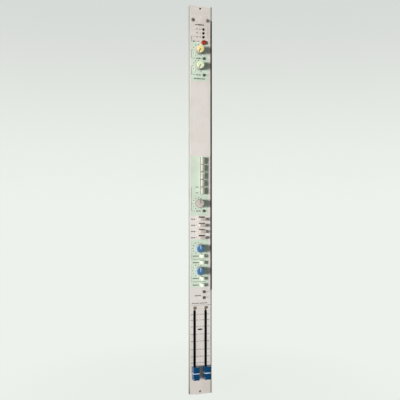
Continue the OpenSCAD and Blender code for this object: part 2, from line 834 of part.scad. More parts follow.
module red_button() {
    round_button(red_x, red_z, red_d, red_h, "#a22d1c");
}

module black_button(i) {
    round_button(black_x, black_z[i], black_d, black_h, "#55554c");
}

module bank_button(i) {
    square_button(bank_x, bank_z[i], bank_w, bank_l, "#bcbcb0");
}

module wide_button(i) {
    square_button(wide_x, wide_z[i], wide_w, wide_l, "#c0b7ae");
}

module white_button(i) {
    square_button(white_x, white_z[i], white_w, white_l, "#fbfde8");
}

// Section of a knob body, turned about its shaft: radius, then distance in front of the panels' back
module knob_section() {
    skirt_r = knob_d / 2 + skirt_out;
    bore_r = shaft_d / 2 + cap_fit;
    recess_top = front_y - bush_out - knob_lift;
    bore_top = shaft_y - cap_fit;
    polygon([[recess_r, -skirt_y], [skirt_r, -skirt_y], [skirt_r, -skirt_y + skirt_h],
        [knob_d / 2, -skirt_y + skirt_h], [knob_d / 2, -knob_top_y],
        [spigot_d / 2 + cap_fit, -knob_top_y], [spigot_d / 2 + cap_fit, -knob_top_y - cap_seat],
        [0, -knob_top_y - cap_seat], [0, -bore_top], [bore_r, -bore_top], [bore_r, -recess_top],
        [recess_r, -recess_top]]);
}

module knob(i) {
    tint = ["#cfcbbe", "#cfcbbe", "#c3bdb2", "#c6d2d6", "#c6d2d6"][i];
    color(tint) translate([knob_x, 0, knob_z[i]]) rotate([90, 0, 0]) difference() {
        rotate_extrude() knob_section();
        for (k = [0 : flute_count - 1]) rotate(k * 360 / flute_count)
            translate([knob_d / 2 + flute_r / 3, 0, -skirt_y + skirt_h + flute_r])
                cylinder(r = flute_r, h = knob_h, $fn = 24);
    }
}

module knob_cap(i) {
    tint = ["#f0dc98", "#e7f2d0", "#dcd3ca", "#5080ac", "#5080ac"][i];
    seat = -knob_top_y - cap_seat + cap_fit;
    color(tint) translate([knob_x, 0, knob_z[i]]) rotate([90, 0, 0]) difference() {
        union() {
            translate([0, 0, seat]) cylinder(d = spigot_d, h = -knob_top_y + eps - seat);
            translate([0, 0, -knob_top_y]) cylinder(d = cap_d, h = cap_out - cap_bevel);
            translate([0, 0, -cap_y - cap_bevel])
                cylinder(d1 = cap_d, d2 = cap_d - 2 * cap_bevel, h = cap_bevel);
        }
        rotate(-pointer_deg[i]) translate([-pointer_w / 2, 0, -cap_y - pointer_t])
            cube([pointer_w, cap_d, 2 * pointer_t]);
    }
}

module knob_shaft(i) {
    color("#c5c6c2") bar_y(knob_x, knob_z[i], shaft_d, shaft_y, shaft_in_pot);
}

module rear_connectors() {
    color("#bdb7a6") for (z = connector_z)
        slab([board_x - connector_h, connector_y, z - connector_l / 2],
            [board_x, board_end_y + connector_out, z + connector_l / 2]);
}

module chips() {
    color("#222222") for (i = [0 : part_count - 1]) {
        z = board_top_z - spacer_inset - i * part_pitch;
        slab([board_x - chip_h, chip_y - chip_w / 2, z - chip_l / 2],
            [board_x, chip_y + chip_w / 2, z + chip_l / 2]);
    }
}

module capacitors() {
    color("#27365a") for (i = [0 : part_count - 1])
        bar_x(capacitor_y, board_top_z - spacer_inset - i * part_pitch, capacitor_d,
            board_x - capacitor_h, board_x);
}

module input_transformer() {
    z = black_z[1] - half_switch - blank_h / 2;
    color("#9c9f9d") slab([board_x - can_h, switch_y, z - can_w / 2],
        [board_x, switch_y + can_w, z + can_w / 2]);
}

module fader_cases() {
    inner = case_w / 2 - case_wall;
    color("#8d908e") for (x = fader_x) difference() {
        slab([x - case_w / 2, 0, fader_z - case_half], [x + case_w / 2, case_d, fader_z + case_half]);
        slab([x - inner, case_wall, fader_z - cavity_half],
            [x + inner, case_d - case_wall, fader_z + cavity_half]);
        pad_y(x, fader_z, slot_w, slot_l, slot_w / 2 - eps, -eps, case_wall + eps);
        for (s = [-1, 1])
            translate([x + s * rod_pitch / 2, rod_y, fader_z - rod_half - screw_clear])
                cylinder(d = rod_d + 2 * screw_clear, h = 2 * (rod_half + screw_clear));
        for (z = fader_screw_z)
            bar_y(x, z, screw_d + 2 * screw_clear, -eps, thread_in + screw_clear);
    }
}

module fader_rods() {
    color("#c5c6c2") for (x = fader_x, s = [-1, 1])
        translate([x + s * rod_pitch / 2, rod_y, fader_z - rod_half]) cylinder(d = rod_d, h = 2 * rod_half);
}

module fader_leads() {
    bend_x = fader_x[0] + ribbon_r;
    color("#8b8f92") {
        translate([bend_x, case_d, lead_z]) rotate([0, 0, 90]) rotate_extrude(angle = 90)
            translate([ribbon_r - ribbon_t / 2, 0]) square([ribbon_t, ribbon_w]);
        slab([bend_x - eps, tail_y - ribbon_t, lead_z], [board_x, tail_y, lead_z + ribbon_w]);
        for (i = [0 : 2])
            slab([board_x - ribbon_t, case_d, lead_z + i * ribbon_w / 3],
                [board_x, case_d + ribbon_r / 2, lead_z + i * ribbon_w / 3 + pin_w]);
    }
}

module fader_carriage(i) {
    x = fader_x[i];
    half = case_w / 2 - case_wall - carriage_clear;
    color("#e4e2da") difference() {
        union() {
            slab([x - half, carriage_y, fader_rest_z - carriage_l / 2],
                [x + half, carriage_y + carriage_d, fader_rest_z + carriage_l / 2]);
            slab([x - stem_t / 2, stem_y, fader_rest_z - stem_l / 2],
                [x + stem_t / 2, carriage_y + eps, fader_rest_z + stem_l / 2]);
        }
        for (s = [-1, 1])
            translate([x + s * rod_pitch / 2, rod_y, fader_rest_z - carriage_l])
                cylinder(d = rod_d + 2 * rod_clear, h = 2 * carriage_l);
    }
}

module fader_knob(i) {
    low_y = front_y - fader_knob_lift;
    high_y = low_y - fader_knob_h;
    scoop_half = fader_knob_l / 2 - fader_knob_r;
    scoop_r = (scoop_half * scoop_half + scoop_d * scoop_d) / (2 * scoop_d);
    color("#0e4a80") translate([fader_x[i], 0, fader_rest_z]) difference() {
        pad_y(0, 0, fader_knob_w, fader_knob_l, fader_knob_r, high_y, low_y);
        bar_x(high_y + scoop_d - scoop_r, 0, 2 * scoop_r, -fader_knob_w, fader_knob_w);
        slab([-stem_t / 2 - socket_fit, stem_y - socket_fit, -stem_l / 2 - socket_fit],
            [stem_t / 2 + socket_fit, low_y + eps, stem_l / 2 + socket_fit]);
    }
}

front_panel();
fader_panel();
side_plate();
top_block();
joining_strap();
strap_nuts();
main_board();
board_spacers();
chassis_screws();
panel_screws();
fader_screws();
lamps();
pot_bodies();
switch_bodies();
bank_switch();
rear_connectors();
chips();
capacitors();
input_transformer();
fader_cases();
fader_rods();
fader_leads();
red_button();
for (i = [1 : knob_count]) {
    knob(i - 1);
    knob_cap(i - 1);
    knob_shaft(i - 1);
}
for (i = [1 : black_count]) black_button(i - 1);
for (i = [1 : bank_count]) bank_button(i - 1);
for (i = [1 : wide_count]) wide_button(i - 1);
for (i = [1 : white_count]) white_button(i - 1);
for (i = [1 : fader_count]) {
    fader_carriage(i - 1);
    fader_knob(i - 1);
}
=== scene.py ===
"""Looks of a narrow control-strip module of an audio desk, on the frame that its solids give."""

import logging
import math
import random
from dataclasses import dataclass, field
from enum import Enum
from typing import Any, Mapping, Sequence

import bmesh
import bpy
import numpy as np
from mathutils import Matrix, Vector


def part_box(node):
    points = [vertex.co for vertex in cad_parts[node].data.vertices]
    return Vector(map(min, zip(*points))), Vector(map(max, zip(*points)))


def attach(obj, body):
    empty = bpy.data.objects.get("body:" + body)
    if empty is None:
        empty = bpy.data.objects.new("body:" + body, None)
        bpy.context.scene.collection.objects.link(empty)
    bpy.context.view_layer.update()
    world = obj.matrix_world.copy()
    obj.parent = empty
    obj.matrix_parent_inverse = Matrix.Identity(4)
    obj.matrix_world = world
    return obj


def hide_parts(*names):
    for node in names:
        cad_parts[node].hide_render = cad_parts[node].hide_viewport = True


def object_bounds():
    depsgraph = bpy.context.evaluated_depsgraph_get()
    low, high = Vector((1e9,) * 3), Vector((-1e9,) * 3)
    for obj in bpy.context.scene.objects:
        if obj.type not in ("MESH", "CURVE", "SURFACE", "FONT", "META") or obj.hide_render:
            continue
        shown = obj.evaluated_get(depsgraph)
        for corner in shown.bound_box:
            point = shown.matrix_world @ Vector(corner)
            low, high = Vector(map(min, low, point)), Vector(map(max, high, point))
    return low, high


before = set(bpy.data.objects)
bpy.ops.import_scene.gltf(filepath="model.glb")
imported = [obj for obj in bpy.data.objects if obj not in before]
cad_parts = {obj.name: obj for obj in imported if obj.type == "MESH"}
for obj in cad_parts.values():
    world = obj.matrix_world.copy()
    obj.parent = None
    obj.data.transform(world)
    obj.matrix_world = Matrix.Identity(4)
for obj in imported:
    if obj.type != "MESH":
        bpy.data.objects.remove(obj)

LOG = logging.getLogger("control_strip")
CAD_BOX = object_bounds()
MM = 0.001
PICTURE_PX = 400
OCTAVES = 0.6  # share that each finer octave of a noise keeps
MODULE = "module"
Point = tuple[float, float, float]
Span = tuple[float, float]
Box = tuple[Vector, Vector]
Profile = Sequence[tuple[float, ...]]
Tree = bpy.types.NodeTree
Socket = bpy.types.NodeSocket


def linear(colour: str) -> tuple[float, float, float, float]:
    """Turns an sRGB hex colour into linear light.

    Args:
        colour: the colour, as #rrggbb.

    Returns:
        Red, green, blue and an alpha of 1.
    """
    shares = [int(colour[i:i + 2], 16) / 255 for i in (1, 3, 5)]
    red, green, blue = (s / 12.92 if s <= 0.04045 else ((s + 0.055) / 1.055) ** 2.4 for s in shares)
    return red, green, blue, 1.0


def add_node(tree: Tree, kind: str, inputs: Mapping[Any, Any] | None = None,
             links: Mapping[Any, Socket] | None = None, stops: Sequence[tuple[float, str]] = (),
             ramp: str = "LINEAR", **settings: Any) -> bpy.types.Node:
    """Adds a node with its settings, its constant inputs and its links.

    Args:
        tree: the tree that takes the node.
        kind: Blender's name of the node type, without its first word.
        inputs: constant values by input.
        links: source sockets by input.
        stops: places and hex colours of a colour ramp.
        ramp: how that ramp blends.
        **settings: properties of the node.

    Returns:
        The new node.
    """
    node = tree.nodes.new(f"ShaderNode{kind}")
    for key, value in settings.items():
        setattr(node, key, value)
    for key, value in (inputs or {}).items():
        node.inputs[key].default_value = value
    for key, source in (links or {}).items():
        tree.links.new(source, node.inputs[key])
    if stops:
        node.color_ramp.interpolation = ramp
        elements = node.color_ramp.elements
        while len(elements) < len(stops):
            elements.new(1.0)
        for element, (place, colour) in zip(elements, stops):
            element.position, element.color = place, linear(colour)
    return node


def per_metre(size_mm: float) -> float:
    """Gives how often a pattern of a real size repeats in a metre."""
    return 1 / (size_mm * MM)


def box_mm(node: str) -> Box:
    """Gives a CAD node's lowest and highest corners, in millimetres."""
    low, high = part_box(node)
    return low / MM, high / MM


def middle(low: Vector, high: Vector) -> Point:
    """Gives the middle between two corners."""
    x, y, z = ((a + b) / 2 for a, b in zip(low, high))
    return x, y, z


def solids_mm(node: str) -> list[Box]:
    """Finds the separate solids of a CAD node.

    Args:
        node: the node's name.

    Returns:
        The box of each solid in millimetres, from the top down and then from left to right.
    """
    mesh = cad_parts[node].data
    points = np.array([v.co for v in mesh.vertices], float)
    spots, same = np.unique(np.round(points / MM, 3), axis=0, return_inverse=True)
    edges = same.reshape(-1)[np.array([e.vertices for e in mesh.edges], int)]
    label = np.arange(len(spots))
    while True:
        least = np.minimum(label[edges[:, 0]], label[edges[:, 1]])
        new = label.copy()
        for side in (0, 1):
            np.minimum.at(new, label[edges[:, side]], least)
        new = new[new]
        if (new == label).all():
            break
        label = new
    boxes = [(Vector(spots[label == i].min(0)), Vector(spots[label == i].max(0))) for i in np.unique(label)]
    return sorted(boxes, key=lambda b: (-round(b[0].z, 1), b[0].x))


@dataclass(frozen=True)
class Finish:
    """A surface with a mottled colour and a fine grain, which every finish here starts from.

    Attributes:
        name: what the material really is, and how its surface was made.
        colour: its main colour.
        shade: the second colour of its mottling.
        roughness: middle of its roughness.
        ior: index of refraction.
        metallic: 1 for a bare metal.
        coat: share of clear gloss on top.
        mottle_mm: size of its patches of colour.
        mottle_ends: levels of the patches' noise at the two colours.
        grain_mm: size of its grain.
        grain_depth_mm: depth of its grain.
        grain_share: share of that depth that shows.
        rough_swing: how far the grain moves the roughness each way.
        stretch: frequency of the grain along each axis, below 1 where the grain runs long.
        worn: colour of its worn edges, if they are.
        worn_mm: width of the wear.
        worn_patch_mm: size of the patches in which edges are worn.
        worn_turn: how well rounded and flat normals agree where wear starts and is full.
        worn_share: how far the worn colour covers.
    """

    name: str
    colour: str
    shade: str
    roughness: float
    ior: float = 1.5
    metallic: float = 0.0
    coat: float = 0.0
    mottle_mm: float = 4.0
    mottle_ends: Span = (0.34, 0.6)
    grain_mm: float = 0.5
    grain_depth_mm: float = 0.012
    grain_share: float = 0.7
    rough_swing: float = 0.08
    stretch: Point = (1.0, 1.0, 1.0)
    worn: str = ""
    worn_mm: float = 0.25
    worn_patch_mm: float = 3.0
    worn_turn: Span = (0.99, 0.85)
    worn_share: float = 0.8

    def material(self) -> bpy.types.Material:
        """Makes the material, or finds it if it was made before.

        Returns:
            The material.
        """
        made = bpy.data.materials.get(self.name)
        if made:
            return made
        made = bpy.data.materials.new(self.name)
        made.use_nodes = True
        made.diffuse_color = linear(self.colour)
        tree = made.node_tree
        shader = tree.nodes["Principled BSDF"]
        for socket, value in (("IOR", self.ior), ("Metallic", self.metallic), ("Coat Weight", self.coat)):
            shader.inputs[socket].default_value = value
        place = add_node(tree, "TexCoord").outputs["Object"]
        tint = self.tint(tree, place)
        if self.worn:
            tint = self.wear(tree, place, tint)
        relief = self.relief(tree, place)
        rough = add_node(tree, "MapRange", links={"Value": relief},
                         inputs={"To Min": max(self.roughness - self.rough_swing, 0.02),
                                 "To Max": self.roughness + self.rough_swing})
        bump = add_node(tree, "Bump", links={"Height": relief},
                        inputs={"Strength": self.grain_share, "Distance": self.grain_depth_mm * MM})
        for source, socket in ((tint, "Base Color"), (rough.outputs["Result"], "Roughness"),
                               (bump.outputs["Normal"], "Normal")):
            tree.links.new(source, shader.inputs[socket])
        return made

    def mottle(self, tree: Tree, place: Socket, colour: str) -> Socket:
        """Gives a colour with soft patches of the second one.

        Args:
            tree: the material's tree.
            place: coordinates in metres.
            colour: the colour between the patches.

        Returns:
            The mottled colour.
        """
        patches = add_node(tree, "TexNoise", links={"Vector": place},
                           inputs={"Scale": per_metre(self.mottle_mm), "Detail": 4.0, "Roughness": OCTAVES})
        made = add_node(tree, "ValToRGB", links={"Fac": patches.outputs["Fac"]},
                        stops=tuple(zip(self.mottle_ends, (self.shade, colour))))
        return made.outputs["Color"]

    def tint(self, tree: Tree, place: Socket) -> Socket:
        """Gives the colour of the whole surface."""
        return self.mottle(tree, place, self.colour)

    def relief(self, tree: Tree, place: Socket) -> Socket:
        """Gives the height of the grain.

        Args:
            tree: the material's tree.
            place: coordinates in metres.

        Returns:
            The height, from 0 to 1.
        """
        run = add_node(tree, "Mapping", inputs={"Scale": self.stretch}, links={"Vector": place})
        made = add_node(tree, "TexNoise", links={"Vector": run.outputs["Vector"]},
                        inputs={"Scale": per_metre(self.grain_mm), "Detail": 2.0, "Roughness": OCTAVES})
        return made.outputs["Fac"]

    def wear(self, tree: Tree, place: Socket, tint: Socket) -> Socket:
        """Rubs the edges through to the worn colour, here and there.

        Args:
            tree: the material's tree.
            place: coordinates in metres.
            tint: the colour before the wear.

        Returns:
            The colour with the wear.
        """
        round_edge = add_node(tree, "Bevel", samples=4, inputs={"Radius": self.worn_mm * MM})
        flat = add_node(tree, "NewGeometry")
        turn = add_node(tree, "VectorMath", operation="DOT_PRODUCT",
                        links={0: round_edge.outputs["Normal"], 1: flat.outputs["Normal"]})
        edge = add_node(tree, "MapRange", links={"Value": turn.outputs["Value"]},
                        inputs={"From Min": self.worn_turn[0], "From Max": self.worn_turn[1],
                                "To Max": self.worn_share})
        patches = add_node(tree, "TexNoise", links={"Vector": place},
                           inputs={"Scale": per_metre(self.worn_patch_mm), "Detail": 3.0, "Roughness": OCTAVES})
        rub = add_node(tree, "Math", operation="MULTIPLY",
                       links={0: edge.outputs["Result"], 1: patches.outputs["Fac"]})
        mixed = add_node(tree, "Mix", data_type="RGBA", inputs={7: linear(self.worn)},
                         links={0: rub.outputs["Value"], 6: tint})
        return mixed.outputs[2]


@dataclass(frozen=True)
class PrintedEnamel(Finish):
    """Enamel baked on a steel panel, with broad zones of a second colour printed on its face.

    Attributes:
        face_shade_run: height in millimetres and colour of the face, from the lowest, darker towards the panels' ends
            as painted shade.
        return_shade_run: the same for the left return, greyer where the coat is thinner, and darker towards the ends,
            most at the lower end, as painted shade.
        return_span: where the left return lies across.
        fold_shade: colour of the rounded right edge, darkened as painted shade of the edge that turns from the lamp.
        fold_span: where that edge lies across.
        inner: black on the inside and on the cut edges, painted shade that darkens the slots, holes and windows.
        inside_shade_spans: where that black lies across, in depth and up the panel.
        zone_colour: colour of the printed zones.
        zones: lowest and highest edge of each zone up the panel, from the lowest zone.
        zone_sides: left and right edge of the zones.
        zone_depth: depths of the face that takes the print.
        reaches: half of the range that all places lie in, across, in depth and up the panel.
    """

    face_shade_run: tuple[tuple[float, str], ...] = ()
    return_shade_run: tuple[tuple[float, str], ...] = ()
    return_span: Span = (-25, -17.35)
    fold_shade: str = "#726e6a"
    fold_span: Span = (18.6, 25)
    inner: str = "#12110f"
    inside_shade_spans: tuple[Span, Span, Span] = ((-16.15, 19.15), (-1.9, 9.9), (-319.6, 319.6))
    zone_colour: str = "#cfdccb"
    zones: tuple[Span, ...] = ()
    zone_sides: Span = (-16.6, 14.2)
    zone_depth: Span = (-5, -1.95)
    reaches: Point = (30.0, 10.0, 330.0)
    mottle_ends: Span = (0.3, 0.55)

    def run(self, tree: Tree, value: Socket, reach: float, colours: Sequence[tuple[float, str]],
            ramp: str = "LINEAR") -> Socket:
        """Gives a colour that changes along one coordinate.

        Args:
            tree: the material's tree.
            value: the coordinate in metres.
            reach: half of the range in millimetres that the colours lie in.
            colours: places in millimetres and colours, in rising order.
            ramp: how the colours blend.

        Returns:
            The colour.
        """
        share = add_node(tree, "MapRange", links={"Value": value},
                         inputs={"From Min": -reach * MM, "From Max": reach * MM})
        stops = [((place + reach) / (2 * reach), colour) for place, colour in colours]
        made = add_node(tree, "ValToRGB", links={"Fac": share.outputs["Result"]}, stops=stops, ramp=ramp)
        return made.outputs["Color"]

    def bands(self, tree: Tree, value: Socket, reach: float, *spans: Span) -> Socket:
        """Marks the spans of one coordinate.

        Args:
            tree: the material's tree.
            value: the coordinate in metres.
            reach: half of the range in millimetres that the spans lie in.
            *spans: their ends in millimetres, in rising order.

        Returns:
            White inside the spans, black outside.
        """
        marks = [(-reach, "#000000")]
        for span in spans:
            marks += zip(span, ("#ffffff", "#000000"))
        return self.run(tree, value, reach, marks, "CONSTANT")

    def over(self, tree: Tree, under: Socket, colour: str | Socket, masks: Sequence[Socket]) -> Socket:
        """Lays a colour over another where all masks are white.

        Args:
            tree: the material's tree.
            under: the colour below.
            colour: a hex colour, or the socket of one.
            masks: the masks.

        Returns:
            The mixed colour.
        """
        mask = masks[0]
        for other in masks[1:]:
            mask = add_node(tree, "Math", operation="MULTIPLY", links={0: mask, 1: other}).outputs["Value"]
        flat = isinstance(colour, str)
        made = add_node(tree, "Mix", data_type="RGBA", inputs={7: linear(colour)} if flat else {},
                        links={0: mask, 6: under} | ({} if flat else {7: colour}))
        return made.outputs[2]

    def tint(self, tree: Tree, place: Socket) -> Socket:
        """Gives the enamel's colour, with the printed zones, and painted shade: darker towards the ends, on the left
        return and the right edge, and black inside.

        Args:
            tree: the material's tree.
            place: coordinates in metres.

        Returns:
            The colour.
        """
        axes = add_node(tree, "SeparateXYZ", links={0: place}).outputs
        x, y, z = ((axes[i], reach) for i, reach in enumerate(self.reaches))
        # The face's colour runs darker towards the ends: painted shade.
        paint = self.run(tree, *z, self.face_shade_run)
        # The left return darkens towards the ends: painted shade.
        paint = self.over(tree, paint, self.run(tree, *z, self.return_shade_run), [self.bands(tree, *x, self.return_span)])
        # The rounded right edge is painted darker: painted shade.
        paint = self.over(tree, paint, self.fold_shade, [self.bands(tree, *x, self.fold_span)])
        if self.zones:
            paint = self.over(tree, paint, self.zone_colour, [
                self.bands(tree, *z, *self.zones), self.bands(tree, *x, self.zone_sides),
                self.bands(tree, *y, self.zone_depth)])
        # Black inside and on the cut edges: painted shade in the slots, holes and windows.
        inside = [self.bands(tree, *axis, span) for axis, span in zip((x, y, z), self.inside_shade_spans)]
        paint = self.over(tree, paint, self.inner, inside)
        made = add_node(tree, "Mix", data_type="RGBA", blend_type="MULTIPLY", inputs={0: 1.0},
                        links={6: paint, 7: self.mottle(tree, place, "#ffffff")})
        return made.outputs[2]


@dataclass(frozen=True)
class BoardLaminate(Finish):
    """Glass-epoxy board under a green mask, through which the copper tracks show paler.

    Attributes:
        track: colour over the copper.
        pitch_mm: pitch of the tracks.
        track_mm: width of a track.
        link_mm: distance between the links across them.
        unit_mm: length that the pattern counts in.
    """

    track: str = "#3f7a4d"
    pitch_mm: float = 2.54
    track_mm: float = 0.5
    link_mm: float = 20.32
    unit_mm: float = 10.0

    def tint(self, tree: Tree, place: Socket) -> Socket:
        """Gives the mask's colour, with rows of tracks along the board.

        Args:
            tree: the material's tree.
            place: coordinates in metres.

        Returns:
            The colour.
        """
        axes = add_node(tree, "SeparateXYZ", links={0: place}).outputs
        flat = add_node(tree, "CombineXYZ", links={"X": axes["Z"], "Y": axes["Y"]})
        rows = add_node(tree, "TexBrick", links={"Vector": flat.outputs["Vector"]},
                        inputs={"Color1": linear(self.colour), "Color2": linear(self.shade),
                                "Mortar": linear(self.track), "Scale": per_metre(self.unit_mm),
                                "Mortar Size": self.track_mm / 2 / self.unit_mm,
                                "Brick Width": self.link_mm / self.unit_mm,
                                "Row Height": self.pitch_mm / self.unit_mm})
        return rows.outputs["Color"]


@dataclass(frozen=True)
class RibbedJacket(Finish):
    """Flat cable jacket, ribbed by the round cores in it.

    Attributes:
        core_mm: pitch of the cores.
    """

    core_mm: float = 1.27

    def relief(self, tree: Tree, place: Socket) -> Socket:
        """Gives the height of the ribs, which lie side by side up the module.

        Args:
            tree: the material's tree.
            place: coordinates in metres.

        Returns:
            The height, from 0 to 1.
        """
        made = add_node(tree, "TexWave", bands_direction="Z", links={"Vector": place},
                        inputs={"Scale": math.pi / (10 * self.core_mm * MM)})
        return made.outputs["Fac"]


# Enamel on sheet steel: an even satin coat with a faint orange peel of about a millimetre, and broad smudges.
# The left return's run is painted shade: darker towards the ends, darkest near the lower end.
RETURN_SHADE_RUN = ((-320, "#54514c"), (-304, "#777470"), (-270, "#88857f"), (-200, "#9e9b95"), (-60, "#adaaa4"),
              (110, "#b1aea8"), (240, "#a8a59f"), (320, "#9c9993"))
# The face's run darkens towards the ends of each panel: painted shade.
PANEL_ENAMEL = PrintedEnamel("enamel_baked_on_steel", "#ddd6d0", "#f6f3f1", 0.42, mottle_mm=38, grain_mm=0.9,
                             face_shade_run=((-170, "#ded8d3"), (0, "#e3dcd6"), (190, "#dfd8d2"), (300, "#d7cfc8")),
                             return_shade_run=RETURN_SHADE_RUN, zones=((-145, -66), (-26, 71), (195, 258)))
FADER_ENAMEL = PrintedEnamel("enamel_baked_on_fader_panel", "#d6cfc8", "#f4f1ee", 0.42, mottle_mm=38, grain_mm=0.9,
                             face_shade_run=((-320, "#d0c9c3"), (-300, "#d8d0c9"), (-230, "#ddd6d1"), (-180, "#dfd8d3")),
                             return_shade_run=RETURN_SHADE_RUN)
# Dyed oxide on rolled aluminium: dark and satin, with faint rolling lines up the sheet, pale on rubbed edges.
DARK_ANODISED = Finish("anodised_rolled_aluminium_dark", "#3b3c37", "#33342f", 0.5, mottle_mm=9,
                       grain_depth_mm=0.01, stretch=(1, 1, 0.04), worn="#6d6e67", worn_mm=0.2)
# Milled aluminium: pale metal with cutter lines half a millimetre apart, drawn along X.
MILLED_ALUMINIUM = Finish("milled_aluminium", "#c2c3c0", "#b2b3b0", 0.36, metallic=1, mottle_mm=6,
                          grain_depth_mm=0.01, stretch=(0.05, 1, 1))
# Bright zinc on pressed steel: grey metal with blue-grey spangle patches of a few millimetres.
ZINC_STEEL = Finish("zinc_plated_steel", "#c4c7c6", "#a9adae", 0.38, metallic=1, mottle_mm=2.5, grain_mm=0.3,
                    grain_depth_mm=0.006)
# Tin on pressed steel: a duller grey, with drawing lines that run up the cases.
CASE_STEEL = Finish("tinned_pressed_steel", "#b3b5b3", "#9a9d9c", 0.42, metallic=1, mottle_mm=5, grain_mm=0.4,
                    grain_depth_mm=0.008, stretch=(1, 1, 0.08))
# Ground rod: a clean bright line of light. Its grit is too fine to show and is drawn at 0.15 mm.
GROUND_STEEL = Finish("ground_steel_rod", "#c9cac8", "#b8bab8", 0.22, metallic=1, mottle_mm=3, grain_mm=0.15,
                      grain_depth_mm=0.003)
# Browned and bronzed screws: a dull skin of oxide, uneven in patches of a millimetre, that hides the metal.
OXIDE = {"ior": 1.6, "mottle_mm": 1.2, "grain_mm": 0.2, "grain_depth_mm": 0.006}
BROWNED_STEEL = Finish("browned_steel_screw", "#7f786b", "#716a5e", 0.46, **OXIDE)
BRONZED_STEEL = Finish("bronzed_steel_screw", "#8f8578", "#7b7165", 0.42, **OXIDE)
# Thin gilding on bronze: warm and smooth.
GILT_BRONZE = Finish("gilt_phosphor_bronze", "#d8b66a", "#c29c4e", 0.26, metallic=1, mottle_mm=1, grain_mm=0.2,
                     grain_depth_mm=0.003)
# Hot-tinned wire: soft grey shine, with the small waves of the tin.
TINNED_COPPER = Finish("tinned_copper_wire", "#cbcac4", "#b4b4ae", 0.3, metallic=1, mottle_mm=0.8, grain_mm=0.2,
                       grain_depth_mm=0.004)
# Drawn can: warm grey metal, with the lines of the draw.
CAN_METAL = Finish("drawn_nickel_iron_can", "#b5b4ad", "#9f9e98", 0.34, metallic=1, mottle_mm=7,
                   grain_depth_mm=0.008, stretch=(0.06, 1, 1))
# Pressed bare aluminium: pale and even.
CAN_TOP = Finish("bare_aluminium_can_top", "#cfd0ce", "#bfc0be", 0.35, metallic=1, mottle_mm=1.5, grain_mm=0.3)
# Lacquer over etched copper: green, paler over the tracks.
SOLDER_MASK = BoardLaminate("glass_epoxy_under_green_mask", "#2c5a3a", "#2a5537", 0.55, grain_mm=0.4,
                            grain_depth_mm=0.01)
# Spark-eroded moulds leave a satin grain of about a third of a millimetre on ABS.
MOULDED = {"ior": 1.54, "grain_mm": 0.35}
ABS = {slot: Finish(f"moulded_abs_{name}", colour, shade, roughness, **MOULDED)
       for slot, name, colour, shade, roughness in (
           ("knob_grey", "warm_grey", "#bfbbae", "#b6b2a5", 0.48),
           ("knob_stone", "stone", "#b7b1a6", "#ada79c", 0.48),
           ("knob_pale", "cool_grey", "#bcc7ca", "#b1bdc1", 0.48),
           ("cap_yellow", "straw", "#f3dfa2", "#eed99a", 0.36),
           ("cap_green", "pale_green", "#e2edca", "#dbe7c2", 0.36),
           ("cap_stone", "pale_stone", "#c6beb4", "#bcb4aa", 0.36),
           ("cap_blue", "mid_blue", "#4f789f", "#4a7298", 0.36),
           ("red", "red", "#a32b11", "#98260e", 0.32),
           ("black", "dark_grey", "#56564d", "#4d4d45", 0.46),
           ("bank_grey", "cream", "#d8d6ca", "#d1cfc3", 0.42),
           ("wide_beige", "shell", "#d8d0c7", "#d0c8bf", 0.42),
           ("white", "white", "#f8fae9", "#f1f3e2", 0.4))}
ABS["fader_blue"] = Finish("moulded_abs_deep_blue", "#00426c", "#003c63", 0.2, grain_depth_mm=0.003, **MOULDED)
# Printed film in the caps: flatter and a little darker than the moulding round it.
FILM = {"mottle_mm": 2, "grain_mm": 0.3}
FACE_GREY = Finish("printed_insert_grey", "#a5a396", "#9c9a8d", 0.5, **FILM)
FACE_BEIGE = Finish("printed_insert_beige", "#c3bab0", "#bab1a7", 0.5, **FILM)
# Paint filled into a groove: matt and slightly uneven.
FILLED = {"mottle_mm": 1, "grain_mm": 0.3}
LINE_WHITE = Finish("filled_line_white", "#dfe9f2", "#cfdceb", 0.42, mottle_mm=1.5, grain_mm=0.3)
POINTER_OLIVE = Finish("filled_line_olive", "#66581f", "#5c4f1a", 0.5, **FILLED)
POINTER_BROWN = Finish("filled_line_brown", "#71675e", "#665c53", 0.5, **FILLED)
POINTER_BLUE = Finish("filled_line_pale_blue", "#b9d8f6", "#adcfef", 0.45, **FILLED)
# Screen ink: dense and matt. The weave that it went through is too fine to show and is drawn at 0.2 mm.
INK = {"mottle_mm": 1, "grain_mm": 0.2, "grain_depth_mm": 0.004}
INK_GREY = Finish("screen_ink_grey", "#22261f", "#1b1f19", 0.55, **INK)
INK_BLACK = Finish("screen_ink_black", "#161512", "#100f0d", 0.5, **INK)
# The brown ink only paints the shade of the gaps above the wide buttons.
GAP_SHADE_INK = Finish("painted_gap_shade_brown", "#4e473e", "#463f37", 0.55, **INK)
INK_OCHRE = Finish("screen_ink_ochre", "#c3b585", "#b8aa79", 0.55, **INK)
# Cast epoxy: nearly black, under a clear smooth skin.
DARK_RESIN = Finish("cast_epoxy_dark", "#0d0c0a", "#090807", 0.16, ior=1.56, coat=0.5, mottle_mm=1.5, grain_mm=0.6,
                    grain_depth_mm=0.002)
# Moulded engineering plastics: dull and even, with a fine grain.
NYLON = Finish("glass_filled_nylon_slate", "#3a5063", "#324758", 0.5, ior=1.53, mottle_mm=3, grain_mm=0.4)
BLACK_NYLON = Finish("moulded_nylon_black", "#100f0d", "#0b0a09", 0.5, ior=1.53, mottle_mm=1, grain_mm=0.3)
ACETAL = Finish("machined_acetal_ivory", "#e4e2da", "#dad8cf", 0.4, ior=1.48, mottle_mm=3, grain_mm=0.3)
POLYESTER = Finish("glass_filled_polyester_sand", "#bdb7a6", "#b1ab9a", 0.5, ior=1.55, mottle_mm=3, grain_mm=0.4)
MOULDED_EPOXY = Finish("moulded_epoxy_black", "#26262a", "#1f1f22", 0.52, ior=1.58, mottle_mm=1.5, grain_mm=0.25)
